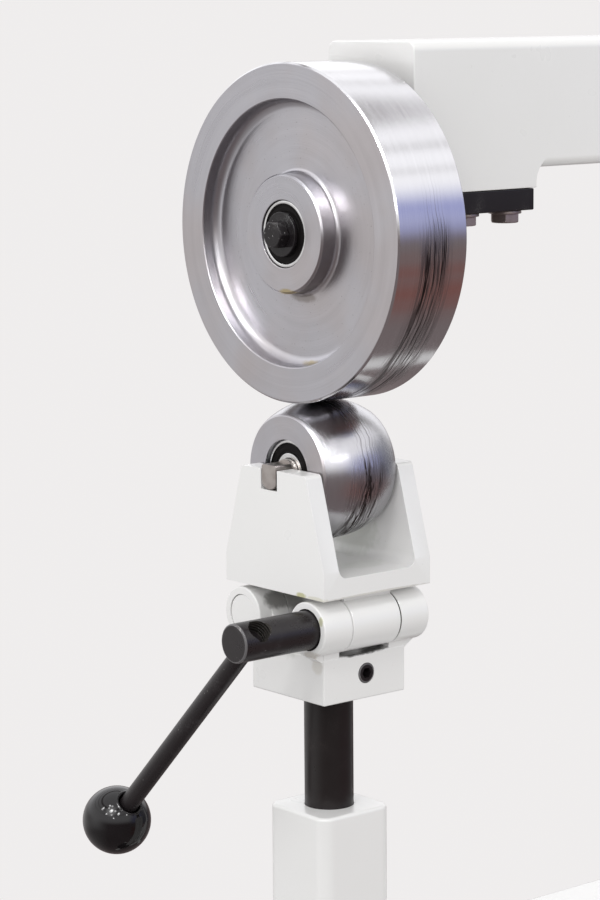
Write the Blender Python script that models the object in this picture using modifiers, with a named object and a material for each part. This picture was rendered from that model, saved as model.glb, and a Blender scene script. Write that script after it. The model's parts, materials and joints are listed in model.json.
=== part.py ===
"""English wheel: a floor-standing sheet metal wheeling machine with a quick-release lower head.

Metres, +Z up. X runs along the wheel axles towards the rear column, Y points to the machine's left as
seen from the front, and the origin lies on the floor under the lifting post. The machine stands at rest with
the lower wheel raised to the upper wheel.
"""

from math import asin, cos, degrees, pi, radians, sin, sqrt

import bmesh
import bpy
from mathutils import Matrix, Vector

# Clearances and tolerances
seat_gap = 0.0003
running_gap = 0.0003
overrun = 0.003
weld_bite = 0.001
merge_distance = 0.00001

# Upper wheel
wheel_height = 1.150
wheel_lead = 0.0045
wheel_radius = 0.100
wheel_width = 0.053
wheel_chamfer = 0.002
rim_wall = 0.0215
dish_depth = 0.011
dish_fillet = 0.006
hub_fillet = 0.003
hub_radius = 0.0353
hub_rise = 0.0015
hub_chamfer = 0.0012
wheel_shoulder_wall = 0.003

# Sealed ball bearings, the same in both wheels
bearing_bore_radius = 0.0085
bearing_radius = 0.020
bearing_width = 0.012
bearing_inset = 0.0008
inner_ring_wall = 0.0032
outer_ring_wall = 0.0024
shield_thickness = 0.0012
seal_inset = 0.0006

# Upper axle, its washer and bolt
axle_shoulder_radius = 0.0115
axle_spigot_radius = 0.010
axle_washer_radius = 0.0132
axle_washer_thickness = 0.0025
axle_bolt_radius = 0.005
axle_bolt_width = 0.0165
axle_bolt_head = 0.0064
axle_bolt_grip = 0.025

# Axle bracket and its bolts
bracket_gap = 0.003
bracket_face_thickness = 0.024
bracket_face_drop = 0.030
bracket_plate_thickness = 0.0132
bracket_rear = 0.1388
bracket_rib_thickness = 0.010
bracket_rib_length = 0.023
bracket_rib_inset = 0.006
bracket_bolt_edge = 0.0133
bracket_bolt_pitch = 0.0355
bracket_bolt_spread = 0.054
bracket_bolt_radius = 0.005
bracket_bolt_width = 0.017
bracket_bolt_head = 0.0056
bracket_washer_radius = 0.0102
bracket_washer_thickness = 0.0018
bracket_bolt_tip = 0.004

# C-frame, one square tube all round
frame_side = 0.078
frame_wall = 0.004
frame_corner = 0.006
arm_rise = 0.033
arm_start = 0.0405
throat_depth = 0.610
throat_height = 0.497
end_plate_thickness = 0.005
nose_thickness = 0.012
nose_rear = 0.141
nose_slope = 0.007
nose_lip = 0.004

# Stand
leg_side = 0.060
leg_distance = 0.230
foot_width = 0.520
cap_thickness = 0.004
cap_plug_depth = 0.014
cap_plug_wall = 0.0025

# Front column with its guide and foot plate
column_side = 0.0546
column_wall = 0.004
column_corner = 0.0086
column_length = 0.300
guide_plate_thickness = 0.010
guide_bush_wall = 0.007
guide_bush_length = 0.060
foot_plate_thickness = 0.012

# Lifting post and key
post_radius = 0.015
post_reach = 0.0719
post_sunk = 0.001
post_tail = 0.110
post_travel = 0.068
key_width = 0.005
key_depth = 0.0027
key_bite = 0.003
key_length = 0.020
key_drop = 0.020

# Lifting screw, thrust bearing and kick wheel
screw_radius = 0.010
screw_reach = 0.060
screw_flange_radius = 0.017
screw_flange_thickness = 0.006
screw_tail_radius = 0.008
screw_pitch = 0.004
race_radius = 0.020
race_thickness = 0.004
cage_wall = 0.006
cage_thickness = 0.005
collar_radius = 0.017
collar_height = 0.012
kick_wheel_height = 0.250
kick_wheel_radius = 0.130
kick_rim_wall = 0.016
kick_rim_height = 0.024
kick_web_thickness = 0.008
kick_hub_radius = 0.024
kick_hub_height = 0.032
kick_chamfer = 0.003
kick_nut_width = 0.024
kick_nut_thickness = 0.013
kick_thread_rise = 0.003

# Lower wheel and its axle
contact_gap = 0.0003
anvil_radius = 0.0425
anvil_face_radius = 0.0353
anvil_width = 0.057
anvil_bearing_inset = 0.0025
anvil_edge = 0.0012
anvil_offset = 0.004
anvil_flat_width = 0.0130
anvil_flat_top = 0.0063
anvil_spacer_wall = 0.003

# Yoke
yoke_length = 0.0838
yoke_width = 0.0916
yoke_plate = 0.012
yoke_floor_drop = 0.0569
yoke_ear_rise = 0.0036
yoke_ear_top_width = 0.0610
yoke_ear_shoulder = 0.0162
yoke_ear_round = 0.003
yoke_fillet = 0.006
yoke_edge = 0.0008
slot_width = 0.0150
barrel_web = 0.014

# Hinge, eccentric shaft and lever
hinge_drop = 0.0192
hinge_left = 0.0313
hinge_right = 0.0293
barrel_radius = 0.0166
barrel_edge = 0.0010
barrel_length = 0.0376
lug_length = 0.0220
hinge_pin_radius = 0.0117
hinge_pin_recess = 0.0004
hinge_pin_chamfer = 0.0006
cam_radius = 0.0117
cam_front = 0.0963
cam_chamfer = 0.0010
eccentric_radius = 0.0086
eccentric_throw = 0.0013
eccentric_slot_radius = 0.0093
cam_rear_radius = 0.006
cam_rear_reach = 0.004
clip_groove_depth = 0.0010
clip_thickness = 0.0012
clip_wall = 0.0030
lever_inset = 0.0132
lever_hole_radius = 0.0061
lever_hole_mouth_radius = 0.0083
lever_angle = radians(-45.3)
lever_swing = radians(135)
lever_radius = 0.0059
lever_tip_radius = 0.0056
lever_tip_past = 0.002
lever_length = 0.1933
lever_chamfer = 0.0008
ball_radius = 0.0213
ball_bore_radius = 0.0066
ball_bore_depth = 0.024
ball_mouth_radius = 0.0080
ball_mouth_chamfer = 0.0006

# Head block and its set screw
block_drop = 0.0192
block_height = 0.0281
block_length = 0.0642
block_width = 0.0674
block_edge = 0.0010
lug_flank_foot = 0.004
web_inset = 0.0005
gusset_drop = 0.0026
gusset_reach = 0.006
lug_flank_angle = radians(35)
set_screw_radius = 0.006
set_screw_rise = 0.0155
set_screw_offset = 0.0012
set_screw_proud = 0.0004
set_screw_chamfer = 0.0010
set_screw_socket = 0.006
set_screw_socket_depth = 0.006

# Facets
wheel_steps = 40
anvil_steps = 32
crown_steps = 6
ball_steps = 20
ring_steps = 20
bearing_steps = 16
post_steps = 20
kick_steps = 24
small_steps = 12
journal_steps = 16
arc_steps = 2
tube_corner_steps = 3

# Places worked out from the sizes above, heights from the floor
wheel_x = -wheel_lead
anvil_height = wheel_height - sqrt((wheel_radius + contact_gap + anvil_radius) ** 2 - anvil_offset ** 2)
yoke_floor = anvil_height - yoke_floor_drop
yoke_bottom = yoke_floor - yoke_plate
yoke_top = anvil_height + yoke_ear_rise
hinge_height = yoke_bottom - hinge_drop
hinge_spacing = hinge_left + hinge_right
pin_y = hinge_left
cam_y = -hinge_right
block_top = hinge_height - block_drop
block_bottom = block_top - block_height
column_top = block_bottom - post_reach
column_tube_top = column_top - guide_plate_thickness
column_bottom = column_top - column_length
column_tube_bottom = column_bottom + foot_plate_thickness
post_top = block_top - post_sunk
post_bottom = column_top - guide_plate_thickness - post_tail
key_top = column_tube_top - key_drop
arm_bottom = wheel_height + arm_rise
arm_middle = arm_bottom + frame_side / 2
arm_front = wheel_x + arm_start
nose_bottom = arm_bottom - nose_thickness
bracket_top = nose_bottom - seat_gap
bracket_bottom = bracket_top - bracket_plate_thickness
bracket_front = wheel_x + wheel_width / 2 + bracket_gap
rear_column_x = wheel_x + throat_depth + frame_side / 2
frame_rear = rear_column_x + frame_side / 2
lower_arm_top = arm_bottom - throat_height
lower_arm_middle = lower_arm_top - frame_side / 2
bearing_face = wheel_width / 2 + hub_rise - bearing_inset
anvil_bearing_face = anvil_width / 2 - anvil_bearing_inset
barrel_half = barrel_length / 2
lug_inner = barrel_half + seat_gap
lug_outer = lug_inner + lug_length
cam_tilt = asin(eccentric_throw * (1 - cos(lever_swing)) / hinge_spacing)

# A section or turned outline lies in local X and Y, or X and Z, and local Z is turned to the named axis
facing = {
    "X": Matrix(((0, 0, 1), (1, 0, 0), (0, 1, 0))).to_4x4(),
    "Y": Matrix(((1, 0, 0), (0, 0, -1), (0, 1, 0))).to_4x4(),
    "Z": Matrix.Identity(4),
}

for old in list(bpy.data.objects):
    bpy.data.objects.remove(old)

machine = bpy.data.collections.new("english_wheel")
bpy.context.scene.collection.children.link(machine)


# Finishes

def finish(name, colour, roughness, metallic):
    """Return a Principled material with one colour, roughness and metallic value."""
    material = bpy.data.materials.new(name)
    material.use_nodes = True
    shader = material.node_tree.nodes["Principled BSDF"]
    shader.inputs["Base Color"].default_value = (*colour, 1)
    shader.inputs["Roughness"].default_value = roughness
    shader.inputs["Metallic"].default_value = metallic
    return material


white_paint = finish("white_paint", (0.78, 0.79, 0.77), 0.35, 0)
turned_steel = finish("turned_steel", (0.55, 0.56, 0.58), 0.35, 1)
polished_steel = finish("polished_steel", (0.62, 0.62, 0.64), 0.16, 1)
bearing_steel = finish("bearing_steel", (0.60, 0.60, 0.60), 0.25, 1)
worn_steel = finish("worn_steel", (0.42, 0.37, 0.34), 0.40, 1)
zinc_plate = finish("zinc_plate", (0.50, 0.46, 0.42), 0.40, 1)
black_oxide = finish("black_oxide", (0.035, 0.032, 0.034), 0.40, 0.6)
black_rubber = finish("black_rubber", (0.03, 0.03, 0.03), 0.55, 0)
black_plastic = finish("black_plastic", (0.008, 0.008, 0.009), 0.08, 0)
cap_plastic = finish("cap_plastic", (0.03, 0.03, 0.03), 0.5, 0)


# Modelling helpers

def place(name, data, middle, turn, material):
    """Put mesh or curve data into the machine's collection under the given name."""
    shape = bpy.data.objects.new(name, data)
    machine.objects.link(shape)
    shape.matrix_world = Matrix.Translation(middle) @ turn
    if material:
        data.materials.append(material)
    return shape


def bake(shape):
    """Replace an object's mesh by what its modifiers make of it."""
    graph = bpy.context.evaluated_depsgraph_get()
    mesh = bpy.data.meshes.new_from_object(shape.evaluated_get(graph))
    material = shape.data.materials[0] if shape.data.materials else None
    mesh.materials.clear()
    if material:
        mesh.materials.append(material)
    mesh.name = shape.name
    cage = bmesh.new()
    cage.from_mesh(mesh)
    bmesh.ops.remove_doubles(cage, verts=cage.verts, dist=merge_distance)
    bmesh.ops.dissolve_degenerate(cage, edges=cage.edges, dist=merge_distance)
    cage.to_mesh(mesh)
    cage.free()
    shape.modifiers.clear()
    shape.data = mesh


def combine(shape, other, operation):
    """Join, cut or intersect a shape with another, which is used up."""
    step = shape.modifiers.new(operation.lower(), "BOOLEAN")
    step.operation = operation
    step.object = other
    bake(shape)
    bpy.data.objects.remove(other)


def join(shape, *others):
    """Weld other shapes to a shape."""
    for other in others:
        combine(shape, other, "UNION")


def cut(shape, *cutters):
    """Cut shapes out of a shape."""
    for cutter in cutters:
        combine(shape, cutter, "DIFFERENCE")


def soften(shape, width, segments=2, limit=radians(40)):
    """Round off the sharp edges of a shape."""
    step = shape.modifiers.new("soften", "BEVEL")
    step.width = width
    step.segments = segments
    step.limit_method = "ANGLE"
    step.angle_limit = limit
    bake(shape)


def box(name, low, high, material=None):
    """A box between its low and high corners."""
    low, high = Vector(low), Vector(high)
    size = high - low
    mesh = bpy.data.meshes.new(name)
    cage = bmesh.new()
    bmesh.ops.create_cube(cage, size=1, matrix=Matrix.Diagonal((*size, 1)))
    cage.to_mesh(mesh)
    cage.free()
    return place(name, mesh, (low + high) / 2, Matrix.Identity(4), material)


def turned(name, outline, middle, axis, steps, material=None, closed=True, turn=None):
    """A lathe-turned shape: (radius, place) pairs down the outer side, spun about the named axis."""
    mesh = bpy.data.meshes.new(name)
    points = [(radius, 0, along) for radius, along in outline]
    edges = [(count, count + 1) for count in range(len(points) - 1)]
    if closed:
        edges.append((len(points) - 1, 0))
    mesh.from_pydata(points, edges, [])
    shape = place(name, mesh, middle, turn or facing[axis], material)
    spin = shape.modifiers.new("spin", "SCREW")
    spin.steps = steps
    spin.render_steps = steps
    spin.use_merge_vertices = True
    spin.merge_threshold = merge_distance
    weld = shape.modifiers.new("weld", "WELD")
    weld.merge_threshold = merge_distance
    bake(shape)
    return shape


def rod(name, radius, start, end, middle, axis, steps=small_steps, material=None, turn=None):
    """A plain round rod from one place to another along its axis."""
    outline = [(0, end), (radius, end), (radius, start), (0, start)]
    return turned(name, outline, middle, axis, steps, material, closed=False, turn=turn)


def ring(name, inner, outer, start, end, middle, axis, steps=ring_steps, material=None):
    """A plain ring from one place to another along its axis."""
    outline = [(outer, end), (outer, start), (inner, start), (inner, end)]
    return turned(name, outline, middle, axis, steps, material)


def section(name, outlines, start, end, middle, axis, material=None):
    """A bar of constant section: closed outlines, the later ones holes, from start to end."""
    curve = bpy.data.curves.new(name, "CURVE")
    curve.dimensions = "2D"
    curve.fill_mode = "BOTH"
    curve.extrude = (end - start) / 2
    for outline in outlines:
        spline = curve.splines.new("POLY")
        spline.points.add(len(outline) - 1)
        for point, (across, up) in zip(spline.points, outline):
            point.co = (across, up, 0, 1)
        spline.use_cyclic_u = True
    shift = facing[axis] @ Vector((0, 0, (start + end) / 2))
    drawn = place(name, curve, Vector(middle) + shift, facing[axis], None)
    graph = bpy.context.evaluated_depsgraph_get()
    mesh = bpy.data.meshes.new_from_object(drawn.evaluated_get(graph))
    cage = bmesh.new()
    cage.from_mesh(mesh)
    bmesh.ops.remove_doubles(cage, verts=cage.verts, dist=merge_distance)
    bmesh.ops.recalc_face_normals(cage, faces=cage.faces)
    cage.to_mesh(mesh)
    cage.free()
    world = drawn.matrix_world.copy()
    bpy.data.objects.remove(drawn)
    shape = place(name, mesh, (0, 0, 0), Matrix.Identity(4), material)
    shape.matrix_world = world
    return shape


def arc(middle, radius, start, end, steps=arc_steps):
    """Points on an arc from one angle in degrees to another, both ends included."""
    turns = [radians(start + (end - start) * count / steps) for count in range(steps + 1)]
    return [(middle[0] + radius * cos(turn), middle[1] + radius * sin(turn)) for turn in turns]


def rounded_square(side, corner, steps=tube_corner_steps):
    """The outline of a square with round corners."""
    inner = side / 2 - corner
    points = []
    for quarter in range(4):
        turn = pi / 2 * quarter
        middle = (inner * sqrt(2) * cos(turn + pi / 4), inner * sqrt(2) * sin(turn + pi / 4))
        points += arc(middle, corner, degrees(turn), degrees(turn) + 90, steps)
    return points


def square_tube(name, side, wall, corner, start, end, middle, axis):
    """A square tube with open ends and round corners."""
    outlines = [rounded_square(side, corner), rounded_square(side - 2 * wall, corner - wall)]
    return section(name, outlines, start, end, middle, axis, white_paint)


def hexagon(name, width, start, end, middle, axis, material=None):
    """A hexagonal prism, measured across its flats."""
    corner = width / sqrt(3)
    return section(name, [arc((0, 0), corner, 0, 300, 5)], start, end, middle, axis, material)


# Upper wheel, its bearings and its axle

def upper_wheel():
    """The flat-faced upper wheel: two dished sides, a raised hub and a stepped bore."""
    face = wheel_width / 2
    rim = wheel_radius - rim_wall
    floor = face - dish_depth
    hub_face = face + hub_rise
    seat = bearing_face - bearing_width - seat_gap
    shoulder = bearing_radius - wheel_shoulder_wall
    front = [(wheel_radius, -face + wheel_chamfer), (wheel_radius - wheel_chamfer, -face), (rim, -face)]
    front += [(rim - dish_fillet + across, -floor - dish_fillet + along)
              for across, along in arc((0, 0), dish_fillet, 0, 90, arc_steps)]
    front += [(hub_radius + hub_fillet + across, -floor - hub_fillet + along)
              for across, along in arc((0, 0), hub_fillet, 90, 180, 1)]
    front += [(hub_radius, -hub_face + hub_chamfer), (hub_radius - hub_chamfer, -hub_face)]
    front += [(bearing_radius, -hub_face), (bearing_radius, -seat), (shoulder, -seat)]
    rear = [(radius, -along) for radius, along in reversed(front)]
    turned("upper_wheel", front + rear, (wheel_x, 0, wheel_height), "X", wheel_steps, turned_steel)


def bearing(prefix, face, side, middle):
    """A sealed ball bearing whose outer face lies at the given place, on side -1 or 1."""
    bore = bearing_bore_radius + seat_gap
    inner = bearing_bore_radius + inner_ring_wall
    outer = bearing_radius - seat_gap
    race = outer - outer_ring_wall
    back = face - bearing_width
    lip = back + shield_thickness
    outline = [(outer, face), (outer, back), (inner + running_gap, back), (inner + running_gap, lip),
               (race, lip), (race, face)]
    if side < 0:
        outline = [(radius, -along) for radius, along in reversed(outline)]
    turned(f"{prefix}_outer_ring", outline, middle, "X", bearing_steps, bearing_steel)
    low, high = sorted((side * back, side * face))
    ring(f"{prefix}_inner_ring", bore, inner, low, high, middle, "X", bearing_steps, bearing_steel)
    seal_face = face - seal_inset
    low, high = sorted((side * (seal_face - shield_thickness), side * seal_face))
    seal_inner = inner + running_gap
    seal_outer = race - seat_gap
    ring(f"{prefix}_seal", seal_inner, seal_outer, low, high, middle, "X", bearing_steps, black_rubber)


def upper_bearings():
    """The two bearings of the upper wheel and the spacer between their inner rings."""
    middle = (wheel_x, 0, wheel_height)
    bearing("upper_bearing_front", bearing_face, -1, middle)
    bearing("upper_bearing_rear", bearing_face, 1, middle)
    half = bearing_face - bearing_width - seat_gap
    inner = bearing_bore_radius + seat_gap
    outer = bearing_bore_radius + inner_ring_wall
    ring("upper_spacer", inner, outer, -half, half, middle, "X", bearing_steps, worn_steel)


def upper_axle():
    """The stepped axle, screwed into the bracket's hanging face."""
    middle = (wheel_x, 0, wheel_height)
    front = -bearing_face + seat_gap
    shoulder = bearing_face + seat_gap
    plate_front = wheel_width / 2 + bracket_gap
    plate_rear = plate_front + bracket_face_thickness
    tap = axle_bolt_radius + seat_gap
    tap_end = front + axle_bolt_grip + seat_gap
    outline = [(0, plate_rear), (axle_spigot_radius, plate_rear)]
    outline += [(axle_spigot_radius, plate_front - seat_gap)]
    outline += [(axle_shoulder_radius, plate_front - seat_gap), (axle_shoulder_radius, shoulder)]
    outline += [(bearing_bore_radius, shoulder), (bearing_bore_radius, front), (tap, front)]
    outline += [(tap, tap_end), (0, tap_end)]
    turned("upper_axle", outline, middle, "X", bearing_steps, worn_steel, closed=False)


def axle_washer():
    """The black washer under the axle bolt's head."""
    rear = -bearing_face - seat_gap
    front = rear - axle_washer_thickness
    middle = (wheel_x, 0, wheel_height)
    inner = axle_bolt_radius + seat_gap
    ring("axle_washer", inner, axle_washer_radius, front, rear, middle, "X", bearing_steps, black_oxide)


def axle_bolt():
    """The hexagon bolt that closes the axle's front end."""
    middle = (wheel_x, 0, wheel_height)
    seat = -bearing_face - 2 * seat_gap - axle_washer_thickness
    top = seat - axle_bolt_head
    tip = -bearing_face + axle_bolt_grip
    bolt = hexagon("axle_bolt", axle_bolt_width, top, seat, middle, "X", black_oxide)
    join(bolt, rod("shank", axle_bolt_radius, seat - weld_bite, tip, middle, "X"))


def axle_bracket():
    """The black bracket under the nose: a plate, a hanging face that holds the axle, and two ribs."""
    half = frame_side / 2
    face_rear = bracket_front + bracket_face_thickness
    rear = wheel_x + bracket_rear
    low = (bracket_front, -half, bracket_bottom)
    bracket = box("axle_bracket", low, (rear, half, bracket_top), black_oxide)
    face_bottom = wheel_height - bracket_face_drop
    low = (bracket_front, -half, face_bottom)
    join(bracket, box("face", low, (face_rear, half, bracket_bottom + weld_bite)))
    outline = [(face_rear - weld_bite, bracket_bottom + weld_bite), (face_rear - weld_bite, face_bottom),
               (face_rear, face_bottom), (face_rear + bracket_rib_length, bracket_bottom),
               (face_rear + bracket_rib_length, bracket_bottom + weld_bite)]
    rib_outer = half - bracket_rib_inset
    rib_inner = rib_outer - bracket_rib_thickness
    join(bracket, section("rib_left", [outline], -rib_outer, -rib_inner, (0, 0, 0), "Y"))
    join(bracket, section("rib_right", [outline], rib_inner, rib_outer, (0, 0, 0), "Y"))
    hole = axle_spigot_radius + seat_gap
    cut(bracket, rod("axle_hole", hole, bracket_front - overrun, face_rear + overrun,
                     (0, 0, wheel_height), "X", ring_steps))
    for x, y in bracket_bolt_places():
        drill = rod("bolt_hole", bracket_bolt_radius + seat_gap, bracket_bottom - overrun,
                    bracket_top + overrun, (x, y, 0), "Z")
        cut(bracket, drill)


def bracket_bolt_places():
    """The two rows of two bolts under the nose."""
    rear = wheel_x + bracket_rear - bracket_bolt_edge
    half = bracket_bolt_spread / 2
    return [(x, y) for x in (rear - bracket_bolt_pitch, rear) for y in (-half, half)]


def bracket_bolts():
    """Four hexagon bolts with their washers, screwed up through the bracket into the nose."""
    seat = bracket_bottom - seat_gap
    washer = seat - bracket_washer_thickness
    tip = arm_bottom + frame_wall + bracket_bolt_tip
    outline = [(0, tip), (bracket_bolt_radius, tip), (bracket_bolt_radius, seat)]
    outline += [(bracket_washer_radius, seat), (bracket_washer_radius, washer), (0, washer)]
    for number, (x, y) in enumerate(bracket_bolt_places(), 1):
        name = f"bracket_bolt_{number}"
        middle = (x, y, 0)
        bolt = turned(name, outline, middle, "Z", small_steps, zinc_plate, closed=False)
        join(bolt, hexagon("head", bracket_bolt_width, washer - bracket_bolt_head, washer + weld_bite,
                           middle, "Z"))


# C-frame and stand

def upper_arm():
    """The upper arm with the holes that the bracket's bolts screw into, and its two end plates."""
    middle = (0, 0, arm_middle)
    front = arm_front + end_plate_thickness + seat_gap
    rear = frame_rear - end_plate_thickness - seat_gap
    arm = square_tube("upper_arm", frame_side, frame_wall, frame_corner, front, rear, middle, "X")
    for x, y in bracket_bolt_places():
        cut(arm, rod("bolt_hole", bracket_bolt_radius + seat_gap, arm_bottom - overrun,
                     arm_bottom + frame_wall + overrun, (x, y, 0), "Z"))
    plate = [rounded_square(frame_side, frame_corner)]
    section("arm_front_plate", plate, arm_front, front - seat_gap, middle, "X", white_paint)
    section("arm_rear_plate", plate, rear + seat_gap, frame_rear, middle, "X", white_paint)


def arm_nose():
    """The welded plate under the arm's end, which wraps up to the arm's flat sides."""
    half = frame_side / 2
    rear = wheel_x + nose_rear
    top = arm_bottom + nose_lip
    outline = [(arm_front, nose_bottom), (rear, nose_bottom), (rear + nose_slope, top), (arm_front, top)]
    nose = section("arm_nose", [outline], -half, half, (0, 0, 0), "Y", white_paint)
    bed = rounded_square(frame_side + 2 * seat_gap, frame_corner + seat_gap)
    end = rear + nose_slope + overrun
    cut(nose, section("bed", [bed], arm_front - overrun, end, (0, 0, arm_middle), "X"))
    for x, y in bracket_bolt_places():
        cut(nose, rod("bolt_hole", bracket_bolt_radius + seat_gap, nose_bottom - overrun,
                      arm_bottom + overrun, (x, y, 0), "Z"))


def c_frame():
    """The rear column and the lower arm."""
    square_tube("rear_column", frame_side, frame_wall, frame_corner, frame_side + seat_gap,
                arm_bottom - seat_gap, (rear_column_x, 0, 0), "Z")
    square_tube("lower_arm", frame_side, frame_wall, frame_corner, column_side / 2 + seat_gap,
                rear_column_x - frame_side / 2 - seat_gap, (0, 0, lower_arm_middle), "X")


def stand():
    """The front leg, the base beam and the two cross feet with their caps."""
    square_tube("front_leg", leg_side, frame_wall, frame_corner, frame_side + seat_gap,
                lower_arm_top - frame_side - seat_gap, (leg_distance, 0, 0), "Z")
    middle = (0, 0, frame_side / 2)
    square_tube("base_beam", frame_side, frame_wall, frame_corner, frame_side / 2 + seat_gap,
                rear_column_x - frame_side / 2 - seat_gap, middle, "X")
    half = foot_width / 2
    for name, x in (("front_foot", 0), ("rear_foot", rear_column_x)):
        middle = (x, 0, frame_side / 2)
        square_tube(name, frame_side, frame_wall, frame_corner, -half, half, middle, "Y")
        foot_cap(f"{name}_cap_left", x, 1)
        foot_cap(f"{name}_cap_right", x, -1)


def foot_cap(name, x, side):
    """A plastic cap plugged into a foot's open end, on side -1 or 1."""
    half = foot_width / 2
    middle = (x, 0, frame_side / 2)
    outer = rounded_square(frame_side, frame_corner)
    plug_side = frame_side - 2 * frame_wall - 2 * seat_gap
    plug_corner = frame_corner - frame_wall
    plug = rounded_square(plug_side, plug_corner, 1)
    hollow = rounded_square(plug_side - 2 * cap_plug_wall, plug_corner / 2, 1)
    # The section's local Z points to -Y
    start = -side * (half + seat_gap)
    end = start - side * cap_thickness
    cap = section(name, [outer], *sorted((start, end)), middle, "Y", cap_plastic)
    bite = start - side * weld_bite
    deep = start + side * cap_plug_depth
    join(cap, section("plug", [plug, hollow], *sorted((bite, deep)), middle, "Y"))


# Front column, guide and foot plate

def front_column():
    """The square column that the lifting post slides in, with its top guide, key and foot plate."""
    square_tube("front_column", column_side, column_wall, column_corner, column_tube_bottom + seat_gap,
                column_tube_top - seat_gap, (0, 0, 0), "Z")
    bore = post_radius + running_gap
    plate = rounded_square(column_side, column_corner)
    guide = section("column_guide", [plate], column_tube_top, column_top, (0, 0, 0), "Z", white_paint)
    bush_end = column_tube_top - guide_bush_length
    join(guide, rod("bush", bore + guide_bush_wall, bush_end, column_tube_top + weld_bite, (0, 0, 0), "Z",
                    post_steps))
    cut(guide, rod("bore", bore, bush_end - overrun, column_top + overrun, (0, 0, 0), "Z", post_steps))
    half = key_width / 2
    key_low = (post_radius - key_depth + seat_gap, -half, key_top - key_length)
    key_high = (bore + key_bite, half, key_top)
    margin = Vector((seat_gap, seat_gap, seat_gap))
    cut(guide, box("pocket", Vector(key_low) - margin, Vector(key_high) + margin))
    box("post_key", key_low, key_high, worn_steel)
    foot = section("column_foot_plate", [plate], column_bottom, column_tube_bottom, (0, 0, 0), "Z",
                   white_paint)
    cut(foot, rod("hole", screw_radius + running_gap, column_bottom - overrun, column_tube_bottom + overrun,
                  (0, 0, 0), "Z", journal_steps))


# Lifting screw

def lifting_screw():
    """The screw, its thrust bearing on the foot plate, its collar, kick wheel and nut."""
    axis = (0, 0, 0)
    hole = screw_radius + running_gap
    lower = column_tube_bottom + seat_gap
    cage = lower + race_thickness + seat_gap
    upper = cage + cage_thickness + seat_gap
    flange = upper + race_thickness + seat_gap
    ring("thrust_race_lower", hole, race_radius, lower, lower + race_thickness, axis, "Z", journal_steps,
         bearing_steel)
    cage_outer = race_radius - running_gap
    ring("thrust_cage", cage_outer - cage_wall, cage_outer, cage, cage + cage_thickness, axis, "Z",
         journal_steps, worn_steel)
    ring("thrust_race_upper", hole, race_radius, upper, upper + race_thickness, axis, "Z", journal_steps,
         bearing_steel)
    hub_top = kick_wheel_height + kick_hub_height / 2
    hub_bottom = kick_wheel_height - kick_hub_height / 2
    nut_top = hub_bottom - seat_gap
    nut_bottom = nut_top - kick_nut_thickness
    top = post_bottom + screw_reach
    outline = [(0, top), (screw_radius, top), (screw_radius, flange + screw_flange_thickness),
               (screw_flange_radius, flange + screw_flange_thickness), (screw_flange_radius, flange),
               (screw_radius, flange), (screw_radius, hub_top + seat_gap),
               (screw_tail_radius, hub_top + seat_gap), (screw_tail_radius, nut_bottom - kick_thread_rise),
               (0, nut_bottom - kick_thread_rise)]
    turned("lift_screw", outline, axis, "Z", journal_steps, worn_steel, closed=False)
    collar_top = column_bottom - running_gap
    ring("screw_collar", hole, collar_radius, collar_top - collar_height, collar_top, axis, "Z",
         journal_steps, black_oxide)
    kick_wheel()
    nut = hexagon("kick_wheel_nut", kick_nut_width, nut_bottom, nut_top, axis, "Z", black_oxide)
    bore = screw_tail_radius + seat_gap
    cut(nut, rod("bore", bore, nut_bottom - overrun, nut_top + overrun, axis, "Z"))


def kick_wheel():
    """The foot-turned wheel on the screw: a hub, a thin web and a heavy rim."""
    hub = kick_hub_height / 2
    rim = kick_rim_height / 2
    web = kick_web_thickness / 2
    rim_inner = kick_wheel_radius - kick_rim_wall
    bore = screw_tail_radius + seat_gap
    lower = [(kick_wheel_radius, -rim + kick_chamfer), (kick_wheel_radius - kick_chamfer, -rim),
             (rim_inner, -rim), (rim_inner, -web), (kick_hub_radius, -web), (kick_hub_radius, -hub),
             (bore, -hub)]
    upper = [(radius, -along) for radius, along in reversed(lower)]
    turned("kick_wheel", lower + upper, (0, 0, kick_wheel_height), "Z", kick_steps, black_oxide)


# Post and head block

def post():
    """The round lifting post: threaded bore from below and a keyway at the back."""
    top_of_bore = post_bottom + screw_reach + post_travel + overrun
    outline = [(0, post_top), (post_radius, post_top), (post_radius, post_bottom)]
    bore = screw_radius + running_gap
    outline += [(bore, post_bottom), (bore, top_of_bore), (0, top_of_bore)]
    shaft = turned("post", outline, (0, 0, 0), "Z", post_steps, black_oxide, closed=False)
    half = key_width / 2 + seat_gap
    low = (post_radius - key_depth, -half, post_bottom - overrun)
    high = (post_radius + overrun, half, key_top + post_travel + overrun)
    cut(shaft, box("keyway", low, high))


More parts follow.
